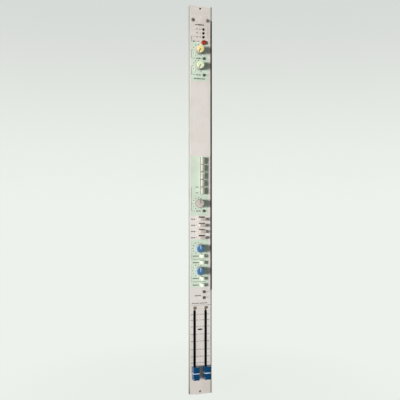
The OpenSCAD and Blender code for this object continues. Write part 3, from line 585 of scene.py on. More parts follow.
# Pressed phenolic paper: brown, with flecks of a millimetre.
PHENOLIC = Finish("pressed_phenolic_brown", "#5a3d28", "#4b3220", 0.5, ior=1.6, mottle_mm=1.2)
# Shrunk sleeve: tight and fairly glossy, with slow waves.
SLEEVE = Finish("shrunk_pvc_sleeve_navy", "#27365a", "#223052", 0.3, ior=1.53, coat=0.2, mottle_mm=3, grain_mm=0.8)
SLEEVE_BAND = Finish("shrunk_pvc_sleeve_band", "#c8cdd6", "#bcc2cc", 0.32, ior=1.53, mottle_mm=2, grain_mm=0.8)
# Sprayed lacquer on film resistors: a smooth, slightly cloudy skin.
RESISTOR_BODY = Finish("lacquered_carbon_film", "#c9b48a", "#bea87c", 0.4, mottle_mm=1.2, grain_mm=0.4)
RESISTOR_BAND = Finish("lacquer_band_brown", "#6a3b22", "#5d321b", 0.4, mottle_mm=1, grain_mm=0.4)
# Dipped coat on film parts: thick and glossy, with the ripples of the dip.
FILM_DIP = Finish("dipped_film_ochre", "#b98a3c", "#a97b30", 0.34, ior=1.55, coat=0.2, mottle_mm=2, grain_mm=0.9,
                  grain_depth_mm=0.03)
# Pressed wool felt: black and without shine. Its fibres are too fine to show and are drawn at 0.15 mm.
FELT = Finish("pressed_wool_felt_black", "#060505", "#040403", 0.95, ior=1.2, mottle_mm=0.8, grain_mm=0.15,
              grain_depth_mm=0.08, stretch=(1, 1, 0.4))
# Extruded jacket: grey, with a rib over each core.
RIBBON = RibbedJacket("ribbed_pvc_jacket_grey", "#8b8f92", "#81858a", 0.45, ior=1.53, grain_depth_mm=0.12)


class Axis(Enum):
    """Axis that a turned form stands on."""

    X = "x"
    Y = "y"


class Side(Enum):
    """Where figures keep to their place."""

    CENTRE = "CENTER"
    RIGHT = "RIGHT"


class Form:
    """A mesh that is put together from small shapes, in millimetres, and ends as one piece.

    Attributes:
        TYPE_SIZE: size of the type over the height of its figures.
        TYPE_HALF: half of their thickness.
    """

    TYPE_SIZE = 1.38
    TYPE_HALF = 0.01

    def __init__(self) -> None:
        """Starts with nothing."""
        self.mesh = bmesh.new()

    def block(self, low: Sequence[float], high: Sequence[float], edge: float = 0.0, steps: int = 3) -> "Form":
        """Adds a box with rounded edges.

        Args:
            low: its lowest corner.
            high: its highest corner.
            edge: radius of its edges.
            steps: faces across that radius.

        Returns:
            The form itself.
        """
        low, high = Vector(low), Vector(high)
        matrix = Matrix.LocRotScale((low + high) / 2, None, high - low)
        made = bmesh.ops.create_cube(self.mesh, size=1.0, matrix=matrix)
        if edge:
            edges = list({e for v in made["verts"] for e in v.link_edges})
            bmesh.ops.bevel(self.mesh, geom=edges, offset=edge, segments=steps, profile=0.5, affect="EDGES",
                            clamp_overlap=True)
        return self

    def bridge(self, first: Sequence[bmesh.types.BMVert], second: Sequence[bmesh.types.BMVert]) -> None:
        """Joins two closed rings, either of which may be a single point.

        Args:
            first: points of one ring.
            second: points of the other.
        """
        count = max(len(first), len(second))
        if count == 1:
            return
        for i in range(count):
            j = (i + 1) % count
            corners = [first[i % len(first)], first[j % len(first)], second[j % len(second)], second[i % len(second)]]
            self.mesh.faces.new(list(dict.fromkeys(corners)))

    def turned(self, at: Sequence[float], profile: Profile, axis: Axis = Axis.Y, count: int = 48,
               flutes: int = 0) -> "Form":
        """Adds a form turned about an axis.

        Args:
            at: a point on the axis.
            profile: radius, place along the axis, and the flutes' depth where there are any.
            axis: the axis.
            count: points round it.
            flutes: number of flutes.

        Returns:
            The form itself.
        """
        rings = []
        for radius, along, *cut in profile:
            ring = []
            for step in range(count if radius > 1e-6 else 1):
                angle = 2 * math.pi * step / count
                reach = radius - (cut[0] * max(0.0, math.cos(flutes * angle)) if cut else 0.0)
                one, two = reach * math.sin(angle), reach * math.cos(angle)
                spot = (at[0] + one, along, at[2] + two) if axis is Axis.Y else (along, at[1] + one, at[2] + two)
                ring.append(self.mesh.verts.new(spot))
            rings.append(ring)
        for first, second in zip(rings, rings[1:]):
            self.bridge(first, second)
        return self

    def loft(self, rings: Sequence[Sequence[Point]]) -> "Form":
        """Adds a skin over rings of equal count, closed at both ends.

        Args:
            rings: points of each ring, in order.

        Returns:
            The form itself.
        """
        made = [[self.mesh.verts.new(p) for p in ring] for ring in rings]
        for first, second in zip(made, made[1:]):
            self.bridge(first, second)
        self.mesh.faces.new(made[0])
        self.mesh.faces.new(list(reversed(made[-1])))
        return self

    def wire(self, route: Sequence[Sequence[float]], thick: float, count: int = 8) -> "Form":
        """Adds a round wire.

        Args:
            route: points that it follows.
            thick: its thickness.
            count: points round it.

        Returns:
            The form itself.
        """
        points, rings = [Vector(p) for p in route], []
        for i, here in enumerate(points):
            run = (points[min(i + 1, len(points) - 1)] - points[max(i - 1, 0)]).to_track_quat("Z", "Y")
            turns = [2 * math.pi * k / count for k in range(count)]
            rings.append([tuple(here + run @ Vector((math.cos(a), math.sin(a), 0)) * thick / 2) for a in turns])
        return self.loft(rings)

    def figures(self, digits: str, x: float, z: float, height: float, front: float,
                side: Side = Side.CENTRE) -> "Form":
        """Adds printed figures on the front.

        Args:
            digits: the figures.
            x: their place across.
            z: the middle of their height.
            height: their height.
            front: depth of their front.
            side: which side keeps to x.

        Returns:
            The form itself.
        """
        curve = bpy.data.curves.new("figures", "FONT")
        curve.body, curve.size, curve.extrude = digits, height * self.TYPE_SIZE, self.TYPE_HALF
        curve.align_x, curve.align_y, curve.resolution_u = side.value, "CENTER", 3
        holder = bpy.data.objects.new("figures", curve)
        bpy.context.scene.collection.objects.link(holder)
        bpy.context.view_layer.update()
        drawn = bpy.data.meshes.new_from_object(holder)
        drawn.transform(Matrix.Translation((x, front + self.TYPE_HALF, z)) @ Matrix.Rotation(math.pi / 2, 4, "X"))
        self.mesh.from_mesh(drawn)
        bpy.data.objects.remove(holder)
        bpy.data.curves.remove(curve)
        bpy.data.meshes.remove(drawn)
        return self

    def piece(self, name: str, finish: Finish, body: str = MODULE, slot: str = "",
              replaced: Sequence[str] = (), smooth_deg: float = 34) -> bpy.types.Object:
        """Ends the form as a piece of the scene.

        Args:
            name: the piece's name.
            finish: its finish.
            body: the CAD body that it rides on.
            slot: not used.
            replaced: the CAD nodes that it stands for.
            smooth_deg: edges below this angle are shaded smooth.

        Returns:
            The piece.
        """
        bmesh.ops.recalc_face_normals(self.mesh, faces=self.mesh.faces)
        self.mesh.transform(Matrix.Scale(MM, 4))
        data = bpy.data.meshes.new(name)
        self.mesh.to_mesh(data)
        self.mesh.free()
        data.materials.append(finish.material())
        data.shade_smooth()
        data.set_sharp_from_angle(angle=math.radians(smooth_deg))
        made = bpy.data.objects.new(name, data)
        bpy.context.scene.collection.objects.link(made)
        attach(made, body)
        if replaced:
            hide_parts(*replaced)
        LOG.info("%s: %d faces, %s, on %s", name, len(data.polygons), finish.name, body)
        return made


def dress(node: str, finish: Finish) -> None:
    """Gives a finish to a CAD node that stays.

    Args:
        node: the node's name.
        finish: the finish.
    """
    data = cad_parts[node].data
    data.materials.clear()
    data.materials.append(finish.material())
    LOG.info("%s: CAD solid, %s", node, finish.name)


@dataclass
class Studio:
    """Camera, light, floor and background, in metres.

    Attributes:
        distance: camera to the middle of the panels.
        swing_deg: how far the camera stands to the left.
        sensor: width of the camera's sensor, in millimetres.
        focal_px: focal length in pixels of the picture.
        centre_px: how far the picture's axis lies right of its middle.
        key_distance: key lamp to the panels.
        key_swing_deg: how far the key lamp stands to the left.
        key_size: width and height of the key lamp.
        key_level: part of the panels' light that comes from the key lamp.
        fill: colour of the light from all round.
        fill_level: level of that light.
        camera_side: level of the room behind the camera, which only gloss shows.
        room_ends: directions into the scene with that level and with the full level.
        floor_ends: places on the floor for the same.
        pale: colour of the floor.
        fleck: colour of its flecks.
        fleck_mm: size of the flecks.
        floor_size: half of the floor's width.
        floor_gap: the module's lower end to the floor.
        shadow_ends: distances at which the floor's shadow starts to fade and is gone.
        shadow_glow: share of plain background in the shadow's place.
        sky: height of a direction and colour of the background there.
        face: the middle of the panels.
    """

    distance: float = 0.998
    swing_deg: float = 16.5
    sensor: float = 36.0
    focal_px: float = 605.0
    centre_px: float = 0.15
    key_distance: float = 4.5
    key_swing_deg: float = 52.0
    key_size: Span = (0.7, 0.9)
    key_level: float = 0.875
    fill: str = "#fbfdff"
    fill_level: float = 0.2
    camera_side: float = 0.12
    room_ends: Span = (-0.4, 0.2)
    floor_ends: Span = (-0.04, 0.1)
    pale: str = "#edf2ec"
    fleck: str = "#eaefe9"
    fleck_mm: float = 25.0
    floor_size: float = 6.0
    floor_gap: float = 0.0004
    shadow_ends: Span = (0.33, 0.5)
    shadow_glow: float = 0.93
    sky: tuple[tuple[float, str], ...] = ((0.0, "#edf2ec"), (0.082, "#e9eee8"), (0.163, "#e3e7e2"),
                                          (0.241, "#dbdeda"), (0.3, "#d6dbd7"))
    face: Vector = field(default_factory=lambda: Vector((0.0, -0.002, 0.0)))

    def hang(self, data: bpy.types.ID, distance: float, swing_deg: float) -> bpy.types.Object:
        """Puts a camera or a lamp in its place, turned to the panels.

        Args:
            data: its settings.
            distance: how far from the panels it stands.
            swing_deg: how far it stands to the left.

        Returns:
            The camera or lamp.
        """
        holder, swing = bpy.data.objects.new(data.name, data), math.radians(swing_deg)
        holder.location = self.face + Vector((-distance * math.sin(swing), -distance * math.cos(swing), 0.0))
        holder.rotation_euler = (self.face - holder.location).to_track_quat("-Z", "Y").to_euler()
        bpy.context.scene.collection.objects.link(holder)
        return holder

    def build(self) -> None:
        """Sets up the whole studio."""
        self.camera()
        self.lamp()
        self.surround()
        self.floor()
        bpy.context.scene.view_settings.view_transform = "Standard"

    def camera(self) -> None:
        """Places the camera where the photograph was taken from."""
        lens = bpy.data.cameras.new("camera")
        lens.sensor_width, lens.lens = self.sensor, self.sensor * self.focal_px / PICTURE_PX
        lens.shift_x = -self.centre_px / PICTURE_PX
        bpy.context.scene.camera = self.hang(lens, self.distance, self.swing_deg)

    def lamp(self) -> None:
        """Hangs one soft box on the left, whose energy gives the panels the wanted level."""
        light = bpy.data.lights.new("key", "AREA")
        light.shape, light.size, light.size_y = "RECTANGLE", *self.key_size
        light.energy = (self.key_level * math.pi ** 2 * self.key_distance ** 2
                        / math.cos(math.radians(self.key_swing_deg)))
        self.hang(light, self.key_distance, self.key_swing_deg)

    def seen(self, tree: Tree) -> Socket:
        """Tells rays that show the background from rays that light the object.

        Args:
            tree: the tree of the world or of the floor.

        Returns:
            1 for rays from the camera, from gloss and through glass.
        """
        path = add_node(tree, "LightPath").outputs
        made = path["Is Camera Ray"]
        for ray in ("Is Glossy Ray", "Is Transmission Ray"):
            made = add_node(tree, "Math", operation="MAXIMUM", links={0: made, 1: path[ray]}).outputs["Value"]
        return made

    def level(self, tree: Tree, way: Socket, ends: Span) -> Socket:
        """Gives the level of what is seen, which falls off behind the camera where gloss shows it.

        Args:
            tree: the tree of the world or of the floor.
            way: the coordinate into the scene.
            ends: where it is at its lowest and at its full level.

        Returns:
            The level.
        """
        room = add_node(tree, "MapRange", links={"Value": way},
                        inputs={"From Min": ends[0], "From Max": ends[1], "To Min": self.camera_side, "To Max": 1.0})
        made = add_node(tree, "Math", operation="MAXIMUM",
                        links={0: add_node(tree, "LightPath").outputs["Is Camera Ray"], 1: room.outputs["Result"]})
        return made.outputs["Value"]

    def surround(self) -> None:
        """Makes the even light from all round, and the pale background, which darkens upwards."""
        world = bpy.data.worlds.new("surround")
        world.use_nodes = True
        bpy.context.scene.world = world
        tree = world.node_tree
        tree.nodes.clear()
        ways = add_node(tree, "SeparateXYZ", links={0: add_node(tree, "TexCoord").outputs["Generated"]}).outputs
        shade = add_node(tree, "ValToRGB", links={"Fac": ways["Z"]}, stops=self.sky)
        shown = add_node(tree, "Background", links={"Color": shade.outputs["Color"],
                                                    "Strength": self.level(tree, ways["Y"], self.room_ends)})
        fill = add_node(tree, "Background", inputs={"Color": linear(self.fill), "Strength": self.fill_level})
        both = add_node(tree, "MixShader", links={0: self.seen(tree), 1: fill.outputs[0], 2: shown.outputs[0]})
        add_node(tree, "OutputWorld", links={"Surface": both.outputs[0]})

    def floor(self) -> None:
        """Lays the floor under the module, pale as the background, with the module's shadow on it."""
        data = bpy.data.meshes.new("floor")
        mesh = bmesh.new()
        bmesh.ops.create_grid(mesh, x_segments=8, y_segments=8, size=self.floor_size)
        mesh.transform(Matrix.Translation((0, 0, CAD_BOX[0].z - self.floor_gap)))
        mesh.to_mesh(data)
        mesh.free()
        made = bpy.data.materials.new("matt_pale_floor")
        made.use_nodes = True
        tree = made.node_tree
        shader = tree.nodes["Principled BSDF"]
        shader.inputs["Roughness"].default_value = 0.9
        place = add_node(tree, "TexCoord").outputs["Object"]
        flecks = add_node(tree, "TexNoise", links={"Vector": place},
                          inputs={"Scale": per_metre(self.fleck_mm), "Detail": 3.0})
        tone = add_node(tree, "ValToRGB", links={"Fac": flecks.outputs["Fac"]},
                        stops=((0.3, self.fleck), (0.7, self.pale)))
        tree.links.new(tone.outputs["Color"], shader.inputs["Base Color"])
        ways = add_node(tree, "SeparateXYZ", links={0: place}).outputs
        glow = add_node(tree, "Emission", inputs={"Color": linear(self.pale)},
                        links={"Strength": self.level(tree, ways["Y"], self.floor_ends)})
        away = add_node(tree, "VectorMath", operation="LENGTH", links={0: place})
        fade = add_node(tree, "MapRange", links={"Value": away.outputs["Value"]},
                        inputs={"From Min": self.shadow_ends[0], "From Max": self.shadow_ends[1],
                                "To Min": self.shadow_glow, "To Max": 1.0})
        share = add_node(tree, "Math", operation="MULTIPLY", links={0: self.seen(tree), 1: fade.outputs["Result"]})
        both = add_node(tree, "MixShader", links={0: share.outputs["Value"], 1: shader.outputs[0],
                                                  2: glow.outputs[0]})
        tree.links.new(both.outputs[0], tree.nodes["Material Output"].inputs["Surface"])
        data.materials.append(made)
        holder = bpy.data.objects.new("floor", data)
        bpy.context.scene.collection.objects.link(holder)


@dataclass(frozen=True)
class BarRow:
    """A row of short printed bars.

    Attributes:
        left: its left end.
        right: its right end.
        height: height of its bars.
        rise: its place above the thing that it belongs to.
        figure_x: place of the figures beside it.
        figure: height of those figures.
    """

    left: float
    right: float
    height: float
    rise: float = 0.0
    figure_x: float = 0.0
    figure: float = 1.9


@dataclass(frozen=True)
class DotArc:
    """Dots in an arc round a knob.

    Attributes:
        r: radius of the arc.
        start: angle of the first dot, clockwise from the top.
        step: angle from one dot to the next.
        count: number of dots.
        d: their diameter.
    """

    r: float
    start: float
    step: float
    count: int
    d: float


class Print(Form):
    """Ink on the front of the panels.

    Attributes:
        INK: thickness of the ink.
        LINE: width of a line.
        THIN: width of a thin line.
        BAR_PITCH: pitch of the bars in a row.
        BAR_SHARES: share of that pitch that each bar takes, in turn.
    """

    INK = 0.03
    LINE = 0.5
    THIN = 0.3
    BAR_PITCH = 2.2
    BAR_SHARES = (0.74, 0.58, 0.82, 0.66)

    def __init__(self) -> None:
        """Starts with nothing, on the front of the panels."""
        super().__init__()
        self.back = box_mm("front_panel")[0].y
        self.front = self.back - self.INK

    def bar(self, left: float, right: float, bottom: float, top: float) -> None:
        """Adds a bar between its four edges."""
        self.block((left, self.front, bottom), (right, self.back, top))

    def rule(self, x0: float, z0: float, x1: float, z1: float, line: float = LINE) -> None:
        """Adds an upright or level line.

        Args:
            x0: its start across.
            z0: its start up the panel.
            x1: its end across.
            z1: its end up the panel.
            line: its width.
        """
        (left, right), (bottom, top), half = sorted((x0, x1)), sorted((z0, z1)), line / 2
        self.bar(left - half, right + half, bottom - half, top + half)

    def spot(self, x: float, z: float, d: float) -> None:
        """Adds a dot of some diameter."""
        r = d / 2
        self.turned((x, 0, z), ((0, self.back), (r, self.back), (r, self.front), (0, self.front)), count=16)

    def arc(self, x: float, z: float, dots: DotArc) -> None:
        """Adds dots in an arc round a knob.

        Args:
            x: the knob's place across.
            z: the knob's place up the panel.
            dots: the arc.
        """
        for i in range(dots.count):
            angle = math.radians(dots.start + dots.step * i)
            self.spot(x + dots.r * math.sin(angle), z + dots.r * math.cos(angle), dots.d)

    def dashes(self, row: BarRow, z: float) -> None:
        """Adds a row of short bars.

        Args:
            row: the row.
            z: place up the panel of the thing that it belongs to.
        """
        count = max(1, round((row.right - row.left) / self.BAR_PITCH))
        step, half, up = (row.right - row.left) / count, row.height / 2, z + row.rise
        for i in range(count):
            left = row.left + i * step
            self.bar(left, left + step * self.BAR_SHARES[i % len(self.BAR_SHARES)], up - half, up + half)

    def beside(self, digits: str, row: BarRow, z: float, side: Side = Side.CENTRE) -> None:
        """Adds the figures beside a row of bars."""
        self.figures(digits, row.figure_x, z + row.rise, row.figure, self.front, side)


@dataclass
class PanelPrint:
    """Lines, bars and plain figures beside the lamps and buttons.

    Attributes:
        top_row: bars over the first lamp.
        lamp_row: bars left of a lamp.
        lamp_line: ends of the line right of the lamps, above the first and the last lamp.
        red_row: bars left of the red button.
        group_x: place of the lines down the left of a group.
        group_line: width of that line beside the bank.
        corner_x: left end of the lines that leave them.
        group_start_x: right end of the first group's upper line.
        mark_x: place of the short lines on the right.
        mark_half: half of their length.
        dark_row: bars left of a dark button.
        dark_dot: place across and diameter of the dot left of them.
        dark_line: ends of the line down its group, above the button.
        dark_corner_x: right end of that line's foot.
        upper_row: bars under the second dark button.
        pair_row: bars between the two lowest dark buttons.
        foot_row: bars at the lower end of the upper panel.
        bank_shade_line_gap: distance from the line left of the bank to its buttons; that line is painted shade of the
            gap at the window's edge.
        bank_row: bars left of the bank.
        bank_rises: their places above the lowest button's upper and lower end.
        wide_row: bars left of a wide button.
        wide_gap_shades: height of the dark bar over each wide button, painted shade of the gap above it.
        wide_gap_shade_off: how far that bar lies past the button's sides, and over it.
        white_row: bars left of a white button.
        white_line: ends of the line under a pair of white buttons.
        white_rises: ends of the line down the left, above the upper button's middle.
    """

    top_row: BarRow = BarRow(-8.0, 6.6, 2.3, 7.2)
    lamp_row: BarRow = BarRow(-7.2, -3.2, 1.2, figure_x=0.8)
    lamp_line: Span = (6.2, -1.0)
    red_row: BarRow = BarRow(-12.4, -7.6, 1.6, 1.6, figure_x=-1.4)
    group_x: float = -14.9
    group_line: float = 0.42
    corner_x: float = -14.6
    group_start_x: float = -9.8
    mark_x: float = 13.4
    mark_half: float = 1.4
    dark_row: BarRow = BarRow(-6.6, 1.4, 1.6)
    dark_dot: Span = (-9.8, 1.2)
    dark_line: Span = (14.0, 0.6)
    dark_corner_x: float = -11.4
    upper_row: BarRow = BarRow(-10.6, 9.2, 1.7, -4.2)
    pair_row: BarRow = BarRow(-9.0, 1.4, 1.6, -3.8)
    foot_row: BarRow = BarRow(-14.0, 12.8, 1.3, 2.8)
    bank_shade_line_gap: float = 0.7
    bank_row: BarRow = BarRow(-6.4, -2.6, 1.5, figure_x=-8.0, figure=1.7)
    bank_rises: Span = (0.1, 2.2)
    wide_row: BarRow = BarRow(-15.4, -8.6, 1.7, figure_x=-6.9, figure=1.8)
    wide_gap_shades: tuple[float, ...] = (1.6, 1.1, 1.1, 1.7)
    wide_gap_shade_off: Span = (0.3, 0.4)
    white_row: BarRow = BarRow(-12.4, -2.0, 1.7, -0.3)
    white_line: Span = (-12.4, 10.2)
    white_rises: Span = (2.6, -5.6)

    def build(self) -> None:
        """Prints the rows from the top down."""
        ink, bars = Print(), Print()
        self.lamp_rows(ink)
        self.dark_rows(ink)
        self.bank_rows(ink)
        self.wide_rows(ink, bars)
        self.white_rows(ink)
        ink.piece("panel_lines", INK_GREY)
        # The second print holds only the painted shade over the wide buttons.
        bars.piece("panel_gap_shades", GAP_SHADE_INK)

    def lamp_rows(self, ink: Print) -> None:
        """Prints the rows of the lamps and the row of the red button.

        Args:
            ink: print that takes them.
        """
        lamps = [middle(low, high)[2] for low, high in solids_mm("lamps")]
        ink.dashes(self.top_row, lamps[0])
        for z, digits in zip(lamps, ("+20", "0", "-20")):
            ink.beside(digits, self.lamp_row, z, Side.RIGHT)
            ink.dashes(self.lamp_row, z)
        above, below = self.lamp_line
        ink.rule(self.mark_x, lamps[0] + above, self.mark_x, lamps[2] + below, ink.THIN)
        red_z, corner = middle(*box_mm("red_button"))[2], lamps[2] + 0.4
        ink.rule(self.group_start_x, corner, self.corner_x, corner, ink.THIN)
        ink.rule(self.group_x, lamps[2] + 0.2, self.group_x, red_z + 1.2)
        ink.beside("+48", self.red_row, red_z, Side.RIGHT)
        ink.dashes(self.red_row, red_z)

    def dark_rows(self, ink: Print) -> None:
        """Prints the rows of the dark buttons, and the bars that stand near them.

        Args:
            ink: print that takes them.
        """
        above, below = self.dark_line
        for i in range(1, 6):
            z = middle(*box_mm(f"black_button_{i}"))[2]
            ink.rule(self.mark_x, z - self.mark_half, self.mark_x, z + self.mark_half)
            if i > 3:
                continue
            ink.spot(self.dark_dot[0], z, self.dark_dot[1])
            ink.dashes(self.dark_row, z)
            ink.rule(self.group_x, z + above, self.group_x, z + below)
            ink.rule(self.corner_x, z, self.dark_corner_x, z, ink.THIN)
        ink.dashes(self.upper_row, box_mm("black_button_2")[0].z)
        ink.dashes(self.pair_row, box_mm("black_button_4")[0].z)
        ink.dashes(self.foot_row, box_mm("front_panel")[0].z)

    def bank_rows(self, ink: Print) -> None:
        """Prints the lines and rows left of the bank; the first line is painted shade of the gap at the window's left
        edge.

        Args:
            ink: print that takes them.
        """
        low, high = box_mm("bank_button_5")
        # A dark line beside the bank's window: painted shade of the gap round the caps.
        left = low.x - self.bank_shade_line_gap
        ink.rule(left, low.z, left, box_mm("bank_button_1")[1].z)
        ink.rule(self.group_x, high.z, self.group_x, box_mm("black_button_3")[1].z, self.group_line)
        for z in (high.z + self.bank_rises[0], low.z + self.bank_rises[1]):
            ink.beside("5", self.bank_row, z)
            ink.dashes(self.bank_row, z)

    def wide_rows(self, ink: Print, bars: Print) -> None:
        """Prints the rows of the wide buttons, and a dark bar of painted shade over each.

        Args:
            ink: print that takes the rows.
            bars: print that takes those bars of painted shade.
        """
        past, over = self.wide_gap_shade_off
        for i, height in enumerate(self.wide_gap_shades, 1):
            low, high = box_mm(f"wide_button_{i}")
            z, foot = middle(low, high)[2], high.z + over
            # Dark bar over the button: painted shade of the gap above it.
            bars.bar(low.x - past, high.x + past, foot, foot + height)
            ink.dashes(self.wide_row, z)
            ink.beside(f"{2 * i - 1} {2 * i}", self.wide_row, z)

    def white_rows(self, ink: Print) -> None:
        """Prints the rows of the white buttons, and the lines between them.

        Args:
            ink: print that takes them.
        """
        (left, right), (above, below) = self.white_line, self.white_rises
        for i in range(1, 5):
            z = middle(*box_mm(f"white_button_{i}"))[2]
            ink.dashes(self.white_row, z)
            if i % 2:
                ink.rule(left, z + below, right, z + below)
                ink.rule(self.corner_x, z + above, self.corner_x, z + below, ink.THIN)


@dataclass
class KnobScales:
    """Dots and figures round the knobs.

    Attributes:
        dots: dots round every knob.
        gain_figure: height of the figures right of the upper knobs.
        gain_x: place of those figures.
        gain_rows: the figures, with their places above the knob's middle.
        level_figure: height of the figures beside the lower knobs.
        level_sides: places of those on the left and on the right.
        level_rise: place of the uppermost one above the knob's middle.
        level_step: step to the next one down.
        level_drop: how far the right ones lie under the left ones.
        level_arc: small dots outside the others, round the lower knobs.
    """

    dots: DotArc = DotArc(9.4, -150, 30, 11, 1.45)
    gain_figure: float = 1.9
    gain_x: float = 11.6
    gain_rows: tuple[tuple[str, float], ...] = (("6", 4.4), ("7", 0.3), ("8", -3.8))
    level_figure: float = 1.7
    level_sides: Span = (-14.6, 11.8)
    level_rise: float = 8.6
    level_step: float = 4.3
    level_drop: float = 3.0
    level_arc: DotArc = DotArc(11.4, -52, 5, 8, 0.9)

    def build(self) -> None:
        """Prints the scales from the top down."""
        dots, figures, ochre = Print(), Print(), Print()
        for i in range(1, 6):
            x, _, z = middle(*box_mm(f"knob_{i}"))
            dots.arc(x, z, self.dots)
            if i < 3:
                for digits, rise in self.gain_rows:
                    figures.figures(digits, self.gain_x, z + rise, self.gain_figure, figures.front)
            if i < 4:
                continue
            left, right = self.level_sides
            for k in range(5):
                row = z + self.level_rise - self.level_step * k
                figures.figures(str(5 - k), left, row, self.level_figure, figures.front)
                if k < 4:
                    figures.figures(str(6 + k), right, row - self.level_drop, self.level_figure, figures.front)
            ochre.arc(x, z, self.level_arc)
        dots.piece("scale_dots", INK_GREY)
        figures.piece("scale_figures", INK_GREY)
        ochre.piece("scale_arcs", INK_OCHRE)


@dataclass
class FaderScale:
    """Ticks and figures between the two faders, and the dark marker.

    Attributes:
        line: width of the ticks.
        figure: height of the figures.
        rows: figures, with their distance from the panel's upper end.
        sides: ends of the ticks in each row.
        low_side: ends of the ticks below the last figures.
        low_rows: their distances from the panel's upper end.
        marker: half length and half height of the marker, and its distance from that end.
    """

    line: float = 0.6
    figure: float = 2.3
    rows: tuple[tuple[str, float], ...] = (("10", 15.1), ("5", 24.4), ("0", 35.2), ("5", 47.7), ("10", 59.3),
                                           ("20", 72.9), ("30", 84.5), ("40", 94.9))
    sides: tuple[Span, ...] = ((-16.0, -12.4), (-6.4, -3.6), (3.4, 6.4), (12.2, 15.4))
    low_side: Span = (-16.0, -13.2)
    low_rows: tuple[float, ...] = (101.0, 104.2, 108.8)
    marker: Point = (5.0, 1.25, 39.9)

    def build(self) -> None:
        """Prints the scale and the marker."""
        ticks, figures, marker = Print(), Print(), Print()
        top = box_mm("fader_panel")[1].z
        for digits, drop in self.rows:
            for left, right in self.sides:
                ticks.rule(left, top - drop, right, top - drop, self.line)
            figures.figures(digits, 0.0, top - drop, self.figure, figures.front)
        for drop in self.low_rows:
            ticks.rule(self.low_side[0], top - drop, self.low_side[1], top - drop, self.line)
        reach, swell, drop = self.marker
        turns = [(math.cos(a), math.sin(a)) for a in (math.pi * k / 12 for k in range(24))]
        marker.loft([[(reach * c, y, top - drop + swell * math.copysign(abs(s) ** 1.4, s)) for c, s in turns]
                     for y in (marker.front, marker.back)])
        ticks.piece("fader_ticks", INK_GREY)
        figures.piece("fader_figures", INK_GREY)
        marker.piece("fader_marker", INK_BLACK)


